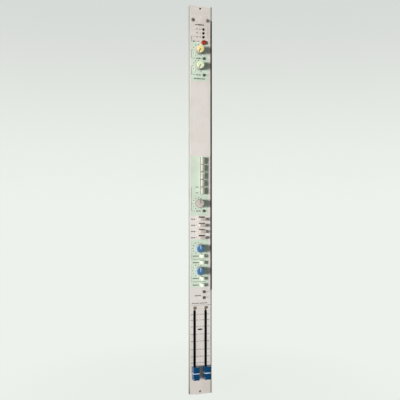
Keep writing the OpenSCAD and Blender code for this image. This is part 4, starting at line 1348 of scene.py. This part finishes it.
@dataclass
class Chassis:
    """Panels, side plate, block, strap and every screw.

    Attributes:
        socket_r: corner radius of the screws' six-sided sockets.
        socket: depth of those sockets.
        head: height of the round heads.
        shank_r: radius of the shanks.
        tip_r: radius of the shanks' ends.
        side_x: how far right the side plate's screws end at least.
        sunk_r: radius of their countersunk heads.
        sunk_cross: half length and half width of the cross recess in them.
        pan_r: radius of the board screws' heads.
        pan_cross: half length and half width of the cross recess in those.
        hole_r: radius of the fixing holes.
        hole_inset: their distance from the panels' ends.
        ring: width of the black ring in a hole, which closes most of it and stands in for the shade seen through it.
        ring_span: front and back of that ring.
        kept: CAD nodes that stay, with their finishes.
    """

    socket_r: float = 1.15
    socket: float = 0.9
    head: float = 1.6
    shank_r: float = 1.5
    tip_r: float = 1.2
    side_x: float = 20.0
    sunk_r: float = 2.78
    sunk_cross: Span = (1.5, 0.32)
    pan_r: float = 2.5
    pan_cross: Span = (1.4, 0.3)
    hole_r: float = 1.7
    hole_inset: float = 4.5
    ring: float = 0.95
    ring_span: Span = (-1.95, -0.05)
    kept: Mapping[str, Finish] = field(default_factory=lambda: {
        "front_panel": PANEL_ENAMEL, "fader_panel": FADER_ENAMEL, "side_plate": DARK_ANODISED,
        "top_block": MILLED_ALUMINIUM, "joining_strap": ZINC_STEEL, "strap_nuts": ZINC_STEEL,
        "board_spacers": ZINC_STEEL})

    def build(self) -> None:
        """Dresses the solids, and makes the screws, and the black rings in the fixing holes that stand in for the
        shade seen through them.
        """
        for node, finish in self.kept.items():
            dress(node, finish)
        for node, finish, slot in (("panel_screws", BROWNED_STEEL, "brown_screw"),
                                   ("fader_screws", BRONZED_STEEL, "bronze_screw")):
            form = Form()
            for low, high in solids_mm(node):
                self.socket_screw(form, low, high)
            form.piece(f"{node}_socket_head", finish, slot=slot, replaced=(node,))
        self.side_screws()
        # Black rings that close most of each fixing hole: painted shade of the darkness seen through it.
        rings = Form()
        outer, inner, (front, back) = self.hole_r - 0.01, self.hole_r - self.ring, self.ring_span
        for z in (box_mm("front_panel")[1].z - self.hole_inset, box_mm("fader_panel")[0].z + self.hole_inset):
            rings.turned((0, 0, z), ((inner, front + 0.05), (outer - 0.03, front), (outer, front + 0.05),
                                     (outer, back), (inner, back), (inner, front + 0.05)), count=32)
        rings.piece("fixing_hole_shade_rings", BLACK_NYLON)

    def socket_screw(self, form: Form, low: Vector, high: Vector) -> None:
        """Adds a round-headed screw with a six-sided socket.

        Args:
            form: form that takes the screw.
            low: lowest corner of its solid.
            high: highest corner of its solid.
        """
        x, _, z = middle(low, high)
        front, back, under = low.y, high.y, low.y + self.head
        r, s, shank = (high.x - low.x) / 2, self.socket_r, self.shank_r
        form.turned((x, 0, z), ((s, front + 0.02), (r * 0.6, front), (r * 0.78, front + 0.18),
                                (r * 0.92, front + 0.55), (r, front + 1.05), (r, under), (shank, under),
                                (shank, back - 0.3), (self.tip_r, back), (0, back)), count=36)
        form.turned((x, 0, z), ((s, front + 0.02), (s, front + self.socket), (0, front + self.socket + 0.3)), count=6)

    def side_screws(self) -> None:
        """Makes the countersunk screws of the side plate and the board's screws, with black crosses that are painted
        shade of their recesses.
        """
        form, recess, shank = Form(), Form(), self.shank_r
        for low, high in solids_mm("chassis_screws"):
            _, y, z = middle(low, high)
            if high.x > self.side_x:
                out, r, cross = high.x, self.sunk_r, self.sunk_cross
                form.turned((0, y, z), ((0, low.x), (self.tip_r, low.x), (shank, low.x + 0.3), (shank, out - 1.5),
                                        (r, out - 0.12), (r - 0.08, out - 0.02), (0, out - 0.02)), Axis.X, 32)
                ends = (out - 0.5, out - 0.005)
            else:
                face, r, cross = low.x, self.pan_r, self.pan_cross
                form.turned((0, y, z), ((0, face), (1.6, face + 0.05), (r - 0.25, face + 0.45), (r, face + 1.0),
                                        (r, face + self.head), (shank, face + self.head), (shank, high.x),
                                        (0, high.x)), Axis.X, 32)
                ends = (face - 0.005, face + 0.4)
            # The cross recess is a black cross laid into the head: painted shade of the recess.
            for dy, dz in (cross, cross[::-1]):
                recess.block((ends[0], y - dy, z - dz), (ends[1], y + dy, z + dz))
        form.piece("side_and_board_screws", ZINC_STEEL, slot="zinc", replaced=("chassis_screws",))
        recess.piece("screw_recess_shades", BLACK_NYLON)


@dataclass
class RotaryKnob:
    """One fluted knob with its coloured cap and filled pointer line.

    Attributes:
        number: its number from the top.
        body_slot: slot of the body's finish.
        cap_slot: slot of the cap's finish.
        pointer: finish of the pointer line.
        pointer_deg: where it points at rest, clockwise from the top.
        ring: finish of a thin dark ring round the cap's foot, if it has one, which is painted shade of the gap at the
            body's rim.
        ring_w: width of that ring.
        flutes: number of flutes round the body.
        flute_depth: their depth.
        pointer_w: width of the pointer line.
        bore_r: radius of the shaft's bore.
        bore_end: depth at which the bore ends.
        recess_r: radius of the recess over the nut, and of the cap's seat.
        recess: depth of the recess over the nut.
        spigot_r: radius of the cap's spigot.
    """

    number: int
    body_slot: str
    cap_slot: str
    pointer: Finish
    pointer_deg: float
    ring: Finish | None = None
    ring_w: float = 0.15
    flutes: int = 24
    flute_depth: float = 0.5
    pointer_w: float = 1.4
    bore_r: float = 2.05
    bore_end: float = -11.85
    recess_r: float = 5.1
    recess: float = 2.8
    spigot_r: float = 5.0

    def build(self) -> None:
        """Makes the body, the cap, the pointer, and the ring of painted shade round the cap."""
        body, name = f"rotary_{self.number}", f"knob_{self.number}"
        low, high = box_mm(name)
        cap_low, cap_high = box_mm(f"knob_cap_{self.number}")
        x, _, z = middle(low, high)
        self.barrel(x, z, low, high, cap_high.y).piece(
            f"{name}_barrel", ABS[self.body_slot], body, self.body_slot, (name,))
        profile = self.crown(cap_low, cap_high, low.y)
        Form().turned((x, 0, z), profile, count=72).piece(
            f"{name}_crown", ABS[self.cap_slot], body, self.cap_slot, (f"knob_cap_{self.number}",))
        self.line(x, z, profile).piece(f"{name}_pointer", self.pointer, body, self.cap_slot)
        # A dark ring round the cap's foot: painted shade of the gap at the body's rim.
        if self.ring:
            r, rim = (cap_high.x - cap_low.x) / 2, low.y
            inner, outer = r + 0.01, r + self.ring_w
            Form().turned((x, 0, z), ((inner, rim - 0.02), (outer, rim - 0.02), (outer, rim - 0.5),
                                      (inner, rim - 0.62), (inner, rim - 0.02)), count=72).piece(
                f"{name}_ring", self.ring, body)
        dress(f"knob_shaft_{self.number}", GROUND_STEEL)

    def barrel(self, x: float, z: float, low: Vector, high: Vector, seat: float) -> Form:
        """Turns the body: bore, nut recess, skirt, flutes, and the seat of the cap.

        Args:
            x: its axis across.
            z: its axis up.
            low: lowest corner of the CAD body.
            high: highest corner of the CAD body.
            seat: depth of the cap's seat.

        Returns:
            The form.
        """
        skirt_r, under, top = (high.x - low.x) / 2, high.y, low.y
        r, d, inner = skirt_r - 0.25, self.flute_depth, self.recess_r
        profile = ((0, self.bore_end), (self.bore_r, self.bore_end), (self.bore_r, under - self.recess),
                   (inner, under - self.recess), (inner, under), (skirt_r - 0.2, under), (skirt_r, under - 0.2),
                   (skirt_r, under - 1.3), (skirt_r - 0.1, under - 1.5), (r, under - 1.6), (r, under - 1.75),
                   (r, under - 2.3, d * 0.8), (r, under - 2.7, d), (r - 0.2, (under + top) / 2, d),
                   (r - 0.42, top + 0.8, d), (r - 0.47, top + 0.35, d * 0.9), (r - 0.6, top + 0.08, d * 0.6),
                   (r - 0.8, top, d * 0.4), (inner, top), (inner, seat + 0.02), (0, seat + 0.02))
        return Form().turned((x, 0, z), profile, count=self.flutes * 6, flutes=self.flutes)

    def crown(self, low: Vector, high: Vector, rim: float) -> Profile:
        """Gives the section of the cap: a spigot, a lid and a low dome.

        Args:
            low: lowest corner of the CAD cap.
            high: highest corner of the CAD cap.
            rim: depth of the body's rim.

        Returns:
            Radius and depth of each point.
        """
        r, front, foot = (high.x - low.x) / 2, low.y + 0.05, self.spigot_r
        return ((0, high.y), (foot, high.y), (foot, rim - 0.01), (r - 0.12, rim - 0.01), (r, rim - 0.13),
                (r, front + 0.72), (r - 0.07, front + 0.5), (r - 0.25, front + 0.33), (r - 0.55, front + 0.24),
                (r - 1.4, front + 0.14), (r * 0.5, front + 0.05), (r * 0.25, front + 0.01), (0, front))

    def line(self, x: float, z: float, profile: Profile) -> Form:
        """Lays the pointer line on the cap, from its middle to its edge.

        Args:
            x: the knob's axis across.
            z: the knob's axis up.
            profile: section of the cap.

        Returns:
            The form.
        """
        turn = math.radians(self.pointer_deg)
        out, side = Vector((math.sin(turn), 0, math.cos(turn))), Vector((math.cos(turn), 0, -math.sin(turn)))
        across = ((-0.5, 0.05), (-0.46, -0.03), (0.46, -0.03), (0.5, 0.05))
        rings = []
        for radius, depth in profile[:-8:-1]:
            mid = Vector((x, depth, z)) + out * (radius * 0.995)
            rings.append([tuple(mid + side * self.pointer_w * s + Vector((0, lift, 0))) for s, lift in across])
        return Form().loft(rings)


class CapShape(Enum):
    """Shape of a push button's cap."""

    ROUND = "round"
    OBLONG = "oblong"


@dataclass
class PushButton:
    """One push button: its cap, the insert in its face, and its plunger.

    Attributes:
        node: its CAD node.
        body: the CAD body that it rides on.
        slot: slot of its finish.
        shape: shape of the cap.
        face: finish of an insert in the cap's face, if it has one.
        tail: depth at which the cap ends.
        plunger: width of the plunger.
        edge: radius of an oblong cap's edges.
        step: how far an insert or a raised face stands out of the cap.
        insert_rim: width of the rim round an insert.
        face_rim: width of the rim round a raised face.
        face_depth: how deep either of them goes.
    """

    node: str
    body: str
    slot: str
    shape: CapShape
    face: Finish | None = None
    tail: float = 1.2
    plunger: float = 2.0
    edge: float = 0.36
    step: float = 0.12
    insert_rim: float = 0.32
    face_rim: float = 0.5
    face_depth: float = 0.5

    def build(self) -> None:
        """Makes the cap with its plunger, and the insert."""
        low, high = box_mm(self.node)
        form, insert = Form(), Form()
        x, _, z = middle(low, high)
        if self.shape is CapShape.ROUND:
            r, f = (high.x - low.x) / 2, low.y
            form.turned((x, 0, z), ((0, self.tail), (r - 0.2, self.tail), (r, self.tail - 0.2), (r, f + 0.75),
                                    (r - 0.06, f + 0.5), (r - 0.22, f + 0.28), (r - 0.48, f + 0.13),
                                    (r - 0.9, f + 0.05), (r * 0.4, f + 0.01), (0, f)), count=48)
        else:
            form.block((low.x, low.y + self.step, low.z), (high.x, self.tail, high.z), self.edge, 4)
            flat, rim, edge = (insert, self.insert_rim, 0.14) if self.face else (form, self.face_rim, 0.12)
            flat.block((low.x + rim, low.y, low.z + rim), (high.x - rim, low.y + self.face_depth, high.z - rim), edge)
        half = self.plunger / 2
        form.block((x - half, self.tail - 0.1, z - half), (x + half, high.y, z + half), 0.12, 2)
        form.piece(f"{self.node}_cap", ABS[self.slot], self.body, self.slot, (self.node,))
        if self.face:
            insert.piece(f"{self.node}_insert", self.face, self.body, self.slot)


@dataclass
class Lamps:
    """The three dark lamps: lens, ring and leads.

    Attributes:
        lens_r: radius of the lens.
        lead: thickness of a lead.
        rim: width of the ring round the lens.
        rim_height: how far that ring stands out of the panel.
    """

    lens_r: float = 1.65
    lead: float = 0.6
    rim: float = 0.5
    rim_height: float = 0.25

    def build(self) -> None:
        """Makes the lenses, the rings round them, and the leads to the board."""
        lens, leads, rims = Form(), Form(), Form()
        panel = box_mm("front_panel")[0].y
        r, inner, outer, top = self.lens_r, self.lens_r + 0.02, self.lens_r + self.rim, panel - self.rim_height
        turns = [math.pi / 2 * k / 6 for k in range(7)]
        for low, high in solids_mm("lamps"):
            x, z, f = low.x + r, middle(low, high)[2], low.y
            dome = [(r * math.sin(a), f + r * (1 - math.cos(a))) for a in turns]
            lens.turned((x, 0, z), [*dome, (r, high.y - 0.4), (r - 0.2, high.y), (0, high.y)], count=32)
            rims.turned((x, 0, z), ((inner, panel), (outer, panel), (outer, panel - 0.12), (outer - 0.1, top),
                                    (inner, top), (inner, panel)), count=32)
            for s in (-1, 1):
                y, up = high.y - 0.3, z + s * r / 2
                leads.wire(((x, y, up), (x + 0.5, y, up), (high.x, y, up)), self.lead)
        lens.piece("lamp_lenses", DARK_RESIN, slot="lamp", replaced=("lamps",))
        leads.piece("lamp_leads", TINNED_COPPER)
        rims.piece("lamp_rims", BLACK_NYLON, slot="lamp")


@dataclass
class Faders:
    """Fader knobs, felt strips, cases, rods and carriages.

    Attributes:
        draft: how far each side of a knob leans in towards its top.
        corner: radius of a knob's edges.
        foot: bevel round a knob's foot.
        scoop: depth of the finger hollow.
        scoop_end: distance of its ends from the knob's ends.
        line_half: half width of the line across a knob.
        line_lift: how far that line stands out of the knob.
        felt_sides: inner and outer edge of a felt strip, from the middle of the slot.
        felt_span: its front and back, from the front of the case.
        felt_inset: its ends, from the case's ends.
        lug: half width, height and half length of a case's lugs.
        tag: half width, height and half thickness of its solder tags.
        tag_pitch: pitch of the tags.
    """

    draft: float = 0.1
    corner: float = 0.3
    foot: float = 0.2
    scoop: float = 1.1
    scoop_end: float = 1.0
    line_half: float = 0.55
    line_lift: float = 0.04
    felt_sides: Span = (0.75, 3.6)
    felt_span: Span = (0.95, 1.5)
    felt_inset: float = 7.2
    lug: Point = (1.6, 0.5, 2.2)
    tag: Point = (0.5, 4.0, 0.3)
    tag_pitch: float = 3.0

    def build(self) -> None:
        """Makes everything of both faders."""
        for node, finish in (("fader_cases", CASE_STEEL), ("fader_rods", GROUND_STEEL), ("fader_leads", RIBBON),
                             ("fader_carriage_1", ACETAL), ("fader_carriage_2", ACETAL)):
            dress(node, finish)
        for i in (1, 2):
            self.knob(i)
        self.felt()
        self.tags()

    def section(self, low: Vector, high: Vector, z: float, lift: float = 0.0) -> list[Point]:
        """Gives a knob's cross section at one height.

        Args:
            low: lowest corner of the knob.
            high: highest corner of the knob.
            z: the height.
            lift: how far the section stands out of the knob's own skin.

        Returns:
            Points round the section, from the lower left.
        """
        mid, half = middle(low, high)[2], (high.z - low.z) / 2
        from_end = half - abs(z - mid)
        r, foot = self.corner, self.foot
        inset = r - math.sqrt(max(r * r - (r - min(from_end, r)) ** 2, 0.0))
        hollow = self.scoop * max(0.0, 1 - ((z - mid) / (half - self.scoop_end)) ** 2)
        top, base = low.y + hollow + inset - lift, high.y
        left, right = low.x + inset * 0.7 - lift, high.x - inset * 0.7 + lift
        lean = self.draft * (base - top) / (high.y - low.y)
        turns = [math.pi / 2 * k / 4 for k in range(4, -1, -1)]
        arc = [(r * (1 - math.sin(a)), r * (1 - math.cos(a))) for a in turns]
        side = [(left + lean + dx, top + dy, z) for dx, dy in arc]
        over = [(right - lean - dx, top + dy, z) for dx, dy in reversed(arc)]
        return [(left, base - foot, z), *side, *over, (right, base - foot, z), (right - foot, base, z),
                (left + foot, base, z)]

    def knob(self, number: int) -> None:
        """Makes one fader knob, with the filled line across it.

        Args:
            number: its number from the left.
        """
        node, body = f"fader_knob_{number}", f"fader_{number}"
        low, high = box_mm(node)
        (x_mid, _, mid), half, r = middle(low, high), (high.z - low.z) / 2, self.corner
        ends = [half - r + r * math.sin(math.pi / 2 * k / 5) for k in range(6)]
        inner = [half - r - (half - r) * k / 14 for k in range(1, 14)]
        levels = sorted({mid, *(mid + s * e for s in (-1, 1) for e in (*ends, *inner))})
        Form().loft([self.section(low, high, z) for z in levels]).piece(
            f"{node}_grip", ABS["fader_blue"], body, "fader_blue", (node,))
        rings = []
        for s in (-1, -0.5, 0, 0.5, 1):
            skin = self.section(low, high, mid + self.line_half * s, self.line_lift)[:-2]
            rings.append(skin + [(x * 0.98 + 0.02 * x_mid, y + 0.3, z) for x, y, z in reversed(skin)])
        Form().loft(rings).piece(f"{node}_line", LINE_WHITE, body)

    def felt(self) -> None:
        """Lays the felt strips that close the slots behind the panel."""
        form, (front, back) = Form(), self.felt_span
        for low, high in solids_mm("fader_cases"):
            x = middle(low, high)[0]
            for s in (-1, 1):
                left, right = sorted(x + s * edge for edge in self.felt_sides)
                form.block((left, low.y + front, low.z + self.felt_inset),
                           (right, low.y + back, high.z - self.felt_inset), 0.12, 2)
        form.piece("slot_felt", FELT)

    def tags(self) -> None:
        """Adds the folded lugs and solder tags of the cases."""
        lugs, tags = Form(), Form()
        for low, high in solids_mm("fader_cases"):
            (x, _, mid), back = middle(low, high), high.y
            wide, tall, half = self.lug
            for z in (low.z + 12, mid, high.z - 20):
                lugs.block((x - wide, back - 0.02, z - half), (x + wide, back + tall, z + half), 0.2, 2)
            wide, tall, half = self.tag
            for k in range(3):
                z = low.z + 5 + self.tag_pitch * k
                tags.block((x - wide, back - 0.1, z - half), (x + wide, back + tall, z + half), 0.1, 1)
        lugs.piece("case_lugs", CASE_STEEL)
        tags.piece("case_tags", TINNED_COPPER)


@dataclass
class Controls:
    """Rotary controls and switches behind the panel.

    Attributes:
        wafer: thickness of the wafer at the back of a rotary control.
        tab: half width, height over the wafer and half length of its crimped tabs.
        least: least height of a rotary control's body, unlike its nut and bush.
        clip: thickness of a switch's steel clips.
        clip_half: half width of those clips.
        rivets: number of rivets in each row of the bank's frame.
        rivet_r: radius of a rivet.
    """

    wafer: float = 0.9
    tab: Point = (0.9, 0.35, 0.6)
    least: float = 10.0
    clip: float = 0.25
    clip_half: float = 1.1
    rivets: int = 6
    rivet_r: float = 1.1

    def build(self) -> None:
        """Dresses the bodies and adds their small parts."""
        dress("pot_bodies", ZINC_STEEL)
        dress("switch_bodies", NYLON)
        dress("bank_switch", CASE_STEEL)
        self.wafers()
        self.collars()

    def wafers(self) -> None:
        """Adds the brown wafer and the crimped tabs at the back of each rotary control."""
        wafers, tabs, (wide, tall, half) = Form(), Form(), self.tab
        for low, high in solids_mm("pot_bodies"):
            size, back, end = high.z - low.z, high.y, high.y + self.wafer
            if back < 1 or size < self.least:
                continue
            left, right = low.x, low.x + size
            wafers.block((left + 0.3, back, low.z + 0.3), (right - 0.3, end, high.z - 0.3), 0.15, 2)
            for z in (low.z + 1.4, high.z - 1.4):
                for x in (left + 1.2, right - 1.2):
                    tabs.block((x - wide, back - 0.1, z - half), (x + wide, end + tall, z + half), 0.15, 2)
        wafers.piece("control_wafers", PHENOLIC)
        tabs.piece("control_tabs", ZINC_STEEL)

    def collars(self) -> None:
        """Adds two steel clips to each switch, and the rivets of the bank's frame."""
        clips, pins = Form(), Form()
        for low, high in solids_mm("switch_bodies"):
            left, right, bottom, top = low.x - self.clip, high.x - 1.0, low.z - self.clip, high.z + self.clip
            for y in (low.y + 4.5, high.y - 3.0):
                y0, y1 = y - self.clip_half, y + self.clip_half
                for end, z0, z1 in ((right, bottom, low.z + 0.02), (right, high.z - 0.02, top),
                                    (low.x + 0.02, low.z - 0.1, high.z + 0.1)):
                    clips.block((left, y0, z0), (end, y1, z1), 0.08, 1)
        low, high = box_mm("bank_switch")
        for k in range(self.rivets):
            z = low.z + 3 + (high.z - low.z - 6) * k / (self.rivets - 1)
            for y in (low.y + 3.2, high.y - 3.2):
                pins.turned((0, y, z), ((0, low.x - 0.45), (self.rivet_r - 0.3, low.x - 0.3),
                                        (self.rivet_r, low.x + 0.02), (0, low.x + 0.1)), Axis.X, 20)
        clips.piece("switch_clips", CASE_STEEL)
        pins.piece("bank_rivets", GILT_BRONZE)


@dataclass
class Board:
    """Circuit board with its chips, capacitors, small parts, transformer and rear connectors.

    Attributes:
        pin_pitch: pitch of the chips' and connectors' pins.
        leg: how far a chip's leg stands out.
        leg_span: front and back of its shoulder, from the top of the chip.
        score: half width of the score in a capacitor's top.
        band_turn: angle at which a capacitor's band starts, and the step to its next point.
        seed: start of the small parts' scatter.
        clear: height of a spacer, and how far small parts keep from it.
        left_out: share of resistors that the board leaves out.
        lead: thickness of the film parts' leads.
        thin_lead: thickness of the resistors' leads.
        film: height, half length and half width of a film part.
        seam: how far the seam of the transformer's can stands out.
        wall: thickness of a connector's long walls.
        mouth: depth of its mouth.
        contact: half width of a contact.
        contact_x: distance of a contact from the connector's middle.
    """

    pin_pitch: float = 2.54
    leg: float = 0.35
    leg_span: Span = (1.25, 1.55)
    score: float = 0.14
    band_turn: Span = (-24, 6)
    seed: int = 7
    clear: Span = (59.7, 4.0)
    left_out: float = 0.12
    lead: float = 0.6
    thin_lead: float = 0.55
    film: Point = (6.2, 3.4, 1.3)
    seam: float = 0.12
    wall: float = 0.9
    mouth: float = 4.5
    contact: float = 0.32
    contact_x: float = 1.1

    def build(self) -> None:
        """Dresses the board and makes all that is soldered on it."""
        dress("main_board", SOLDER_MASK)
        self.chips()
        self.capacitors()
        self.small_parts()
        self.transformer()
        self.connectors()

    def chips(self) -> None:
        """Makes the chips, with their legs and end marks."""
        bodies, legs, (front, back) = Form(), Form(), self.leg_span
        for low, high in solids_mm("chips"):
            (_, y, z), top, wide = middle(low, high), low.x, (high.y - low.y) / 2
            rings = []
            for x, inset in ((top, 0.45), (top + 1.3, 0.12), (top + 1.5, 0.12), (top + 2.7, 0.4)):
                dy, dz = wide - inset, (high.z - low.z) / 2 - inset
                rings.append([(x, y - dy, z - dz), (x, y + dy, z - dz), (x, y + dy, z + dz), (x, y - dy, z + dz)])
            bodies.loft(rings)
            bodies.turned((0, y, high.z - 1.2), ((0, top - 0.02), (0.55, top - 0.02), (0.55, top + 0.2),
                                                 (0, top + 0.2)), Axis.X, 16)
            for s in (-1, 1):
                root = y + s * (wide - 0.1)
                for k in range(4):
                    up, tip = z + (k - 1.5) * self.pin_pitch * 0.92, root + s * self.leg
                    for start, end, half in ((root, top + back, 0.55), (root + s * 0.1, high.x, 0.3)):
                        legs.block((top + front, min(start, tip), up - half), (end, max(start, tip), up + half),
                                   0.05, 1)
        bodies.piece("chip_bodies", MOULDED_EPOXY, slot="chip", replaced=("chips",), smooth_deg=20)
        legs.piece("chip_legs", TINNED_COPPER)

    def capacitors(self) -> None:
        """Makes the capacitors: sleeve, bare scored top and the band on one side."""
        sleeves, tops, bands = Form(), Form(), Form()
        arc = [math.radians(self.band_turn[0] + self.band_turn[1] * k) for k in range(9)]
        for low, high in solids_mm("capacitors"):
            (_, y, z), r, top, foot = middle(low, high), (high.z - low.z) / 2, low.x, high.x
            sleeves.turned((0, y, z), ((0, foot), (r - 0.3, foot), (r - 0.05, foot - 0.3), (r - 0.05, foot - 1.4),
                                       (r - 0.4, foot - 1.9), (r - 0.4, foot - 2.3), (r, foot - 2.8), (r, top + 0.5),
                                       (r - 0.15, top + 0.15), (r - 0.5, top), (r - 0.9, top + 0.05),
                                       (r - 0.9, top + 0.3)), Axis.X, 36)
            tops.turned((0, y, z), ((r - 0.85, top + 0.25), (r - 1.1, top + 0.14), (0, top + 0.12)), Axis.X, 36)
            for dy, dz in ((r - 1.5, self.score), (self.score, r - 1.5)):
                tops.block((top + 0.06, y - dy, z - dz), (top + 0.2, y + dy, z + dz))
            skin = [(reach, a) for reach, turns in ((r + 0.03, arc), (r - 0.1, arc[::-1])) for a in turns]
            bands.loft([[(x, y - reach * math.cos(a), z + reach * math.sin(a)) for reach, a in skin]
                        for x in (top + 0.6, foot - 3.0)])
        sleeves.piece("capacitor_sleeves", SLEEVE, slot="capacitor", replaced=("capacitors",))
        tops.piece("capacitor_tops", CAN_TOP, slot="aluminium")
        bands.piece("capacitor_bands", SLEEVE_BAND)

    def small_parts(self) -> None:
        """Sets resistors between the chips and film parts between the capacitors."""
        dice, (spacer, room) = random.Random(self.seed), self.clear
        bodies, bands, leads, films = Form(), Form(), Form(), Form()
        face = box_mm("main_board")[0].x
        chips, cans = solids_mm("chips"), solids_mm("capacitors")
        for (low, high), (_, below) in zip(chips, chips[1:]):
            gap = low.z - below.z
            for k in range(4):
                z = low.z - gap * (k + 0.75) / 4.5 + dice.uniform(-0.25, 0.25)
                if abs(z - spacer) < room or dice.random() < self.left_out:
                    continue
                self.resistor(bodies, bands, leads, face, middle(low, high)[1], z)
        tall, long, wide = self.film
        for (low, high), (_, below) in zip(cans, cans[1:]):
            y = middle(low, high)[1]
            for k in range(2):
                z = low.z - (low.z - below.z) * (k + 0.8) / 2.6
                if abs(z - spacer) < room:
                    continue
                films.block((face - tall, y - long, z - wide), (face - 0.7, y + long, z + wide), 0.8, 4)
                for s in (-1, 1):
                    leads.wire([(x, y + s * 2.5, z) for x in (face - 1.0, face - 0.4, face)], self.lead)
        bodies.piece("resistor_bodies", RESISTOR_BODY)
        bands.piece("resistor_bands", RESISTOR_BAND)
        leads.piece("part_leads", TINNED_COPPER)
        films.piece("film_parts", FILM_DIP)

    def resistor(self, bodies: Form, bands: Form, leads: Form, face: float, y: float, z: float) -> None:
        """Adds one resistor lying across the chips' column.

        Args:
            bodies: form that takes its body.
            bands: form that takes its bands.
            leads: form that takes its leads.
            face: the board's face.
            y: the middle of its length.
            z: its place up the board.
        """
        x = face - 1.5
        shape = ((0.0, -2.6), (0.75, -2.55), (1.05, -2.2), (1.05, -1.6), (0.85, -1.2), (0.85, 1.2), (1.05, 1.6),
                 (1.05, 2.2), (0.75, 2.55), (0.0, 2.6))
        bodies.turned((x, 0, z), [(r, y + along) for r, along in shape], count=18)
        for along, r in ((-1.9, 1.07), (-0.7, 0.87), (0.1, 0.87), (1.8, 1.07)):
            bands.turned((x, 0, z), ((r - 0.1, y + along - 0.2), (r, y + along - 0.2), (r, y + along + 0.2),
                                     (r - 0.1, y + along + 0.2)), count=18)
        bend = ((x, 2.5), (x, 2.9), (x + 0.2, 3.15), (x + 0.5, 3.2), (face, 3.2))
        for s in (-1, 1):
            leads.wire([(deep, y + s * out, z) for deep, out in bend], self.thin_lead)

    def transformer(self) -> None:
        """Makes the input transformer's can, with its lid seam and fixing tabs."""
        low, high = box_mm("input_transformer")
        can, trim, out = Form(), Form(), self.seam
        can.block(low, high, 1.2, 4)
        trim.block((high.x - 2.2, low.y - out, low.z - out), (high.x - 1.7, high.y + out, high.z + out), 0.15, 2)
        for z in (low.z, high.z):
            for y in (low.y + 5, high.y - 5):
                trim.block((high.x - 0.9, y - 1.6, z - 1.2), (high.x, y + 1.6, z + 1.2), 0.25, 2)
        can.piece("transformer_can", CAN_METAL, slot="can_metal", replaced=("input_transformer",))
        trim.piece("transformer_seam", CASE_STEEL, slot="can_metal")

    def connectors(self) -> None:
        """Makes the rear connectors: a shroud with two rows of contacts in its mouth."""
        shroud, contacts, wall, half = Form(), Form(), self.wall, self.contact
        for low, high in solids_mm("rear_connectors"):
            (mid, _, mid_z), floor = middle(low, high), high.y - self.mouth
            shroud.block(low, (high.x, floor, high.z), 0.35, 2)
            walls = ((low.x, low.x + wall, low.z, high.z), (high.x - wall, high.x, low.z, high.z),
                     (low.x, high.x, low.z, low.z + wall * 2), (low.x, high.x, high.z - wall * 2, high.z))
            for x0, x1, z0, z1 in walls:
                shroud.block((x0, floor - 0.2, z0), (x1, high.y, z1), 0.25, 2)
            count = int((high.z - low.z - 8) / self.pin_pitch)
            for k in range(count):
                z = mid_z + (k - (count - 1) / 2) * self.pin_pitch
                for x in (mid - self.contact_x, mid + self.contact_x):
                    contacts.block((x - half, floor - 0.3, z - half), (x + half, high.y - 1.0, z + half), 0.12, 2)
                shroud.block((low.x, low.y + 1.0, z - 0.4), (low.x + 0.25, floor - 0.6, z + 0.4), 0.1, 1)
        shroud.piece("connector_shrouds", POLYESTER, slot="connector", replaced=("rear_connectors",))
        contacts.piece("connector_contacts", GILT_BRONZE)


def knobs() -> list[RotaryKnob]:
    """Gives the five knobs.

    Returns:
        The knobs, from the top.
    """
    return [RotaryKnob(1, "knob_grey", "cap_yellow", POINTER_OLIVE, -150),
            RotaryKnob(2, "knob_grey", "cap_green", POINTER_OLIVE, -150),
            # Knob 3 carries a brown ring of painted shade round its cap.
            RotaryKnob(3, "knob_stone", "cap_stone", POINTER_BROWN, 0, POINTER_BROWN),
            RotaryKnob(4, "knob_pale", "cap_blue", POINTER_BLUE, 0),
            RotaryKnob(5, "knob_pale", "cap_blue", POINTER_BLUE, 0)]


def buttons() -> list[PushButton]:
    """Gives the nineteen push buttons, kind by kind.

    Returns:
        The red one first, and each kind from the top.
    """
    kinds = (("black", 5, "black", CapShape.ROUND, None), ("bank", 5, "bank_grey", CapShape.OBLONG, FACE_GREY),
             ("wide", 4, "wide_beige", CapShape.OBLONG, FACE_BEIGE), ("white", 4, "white", CapShape.OBLONG, None))
    made = [PushButton("red_button", "red_push", "red", CapShape.ROUND)]
    for kind, count, slot, shape, face in kinds:
        made += [PushButton(f"{kind}_button_{i}", f"{kind}_push_{i}", slot, shape, face) for i in range(1, count + 1)]
    return made


def main() -> None:
    """Builds the studio and every sub-assembly in order."""
    logging.basicConfig(level=logging.INFO, format="%(message)s")
    for assembly in (Studio(), Chassis(), PanelPrint(), KnobScales(), FaderScale(), *knobs(), *buttons(), Lamps(),
                     Faders(), Controls(), Board()):
        assembly.build()


if __name__ == "__main__":
    main()
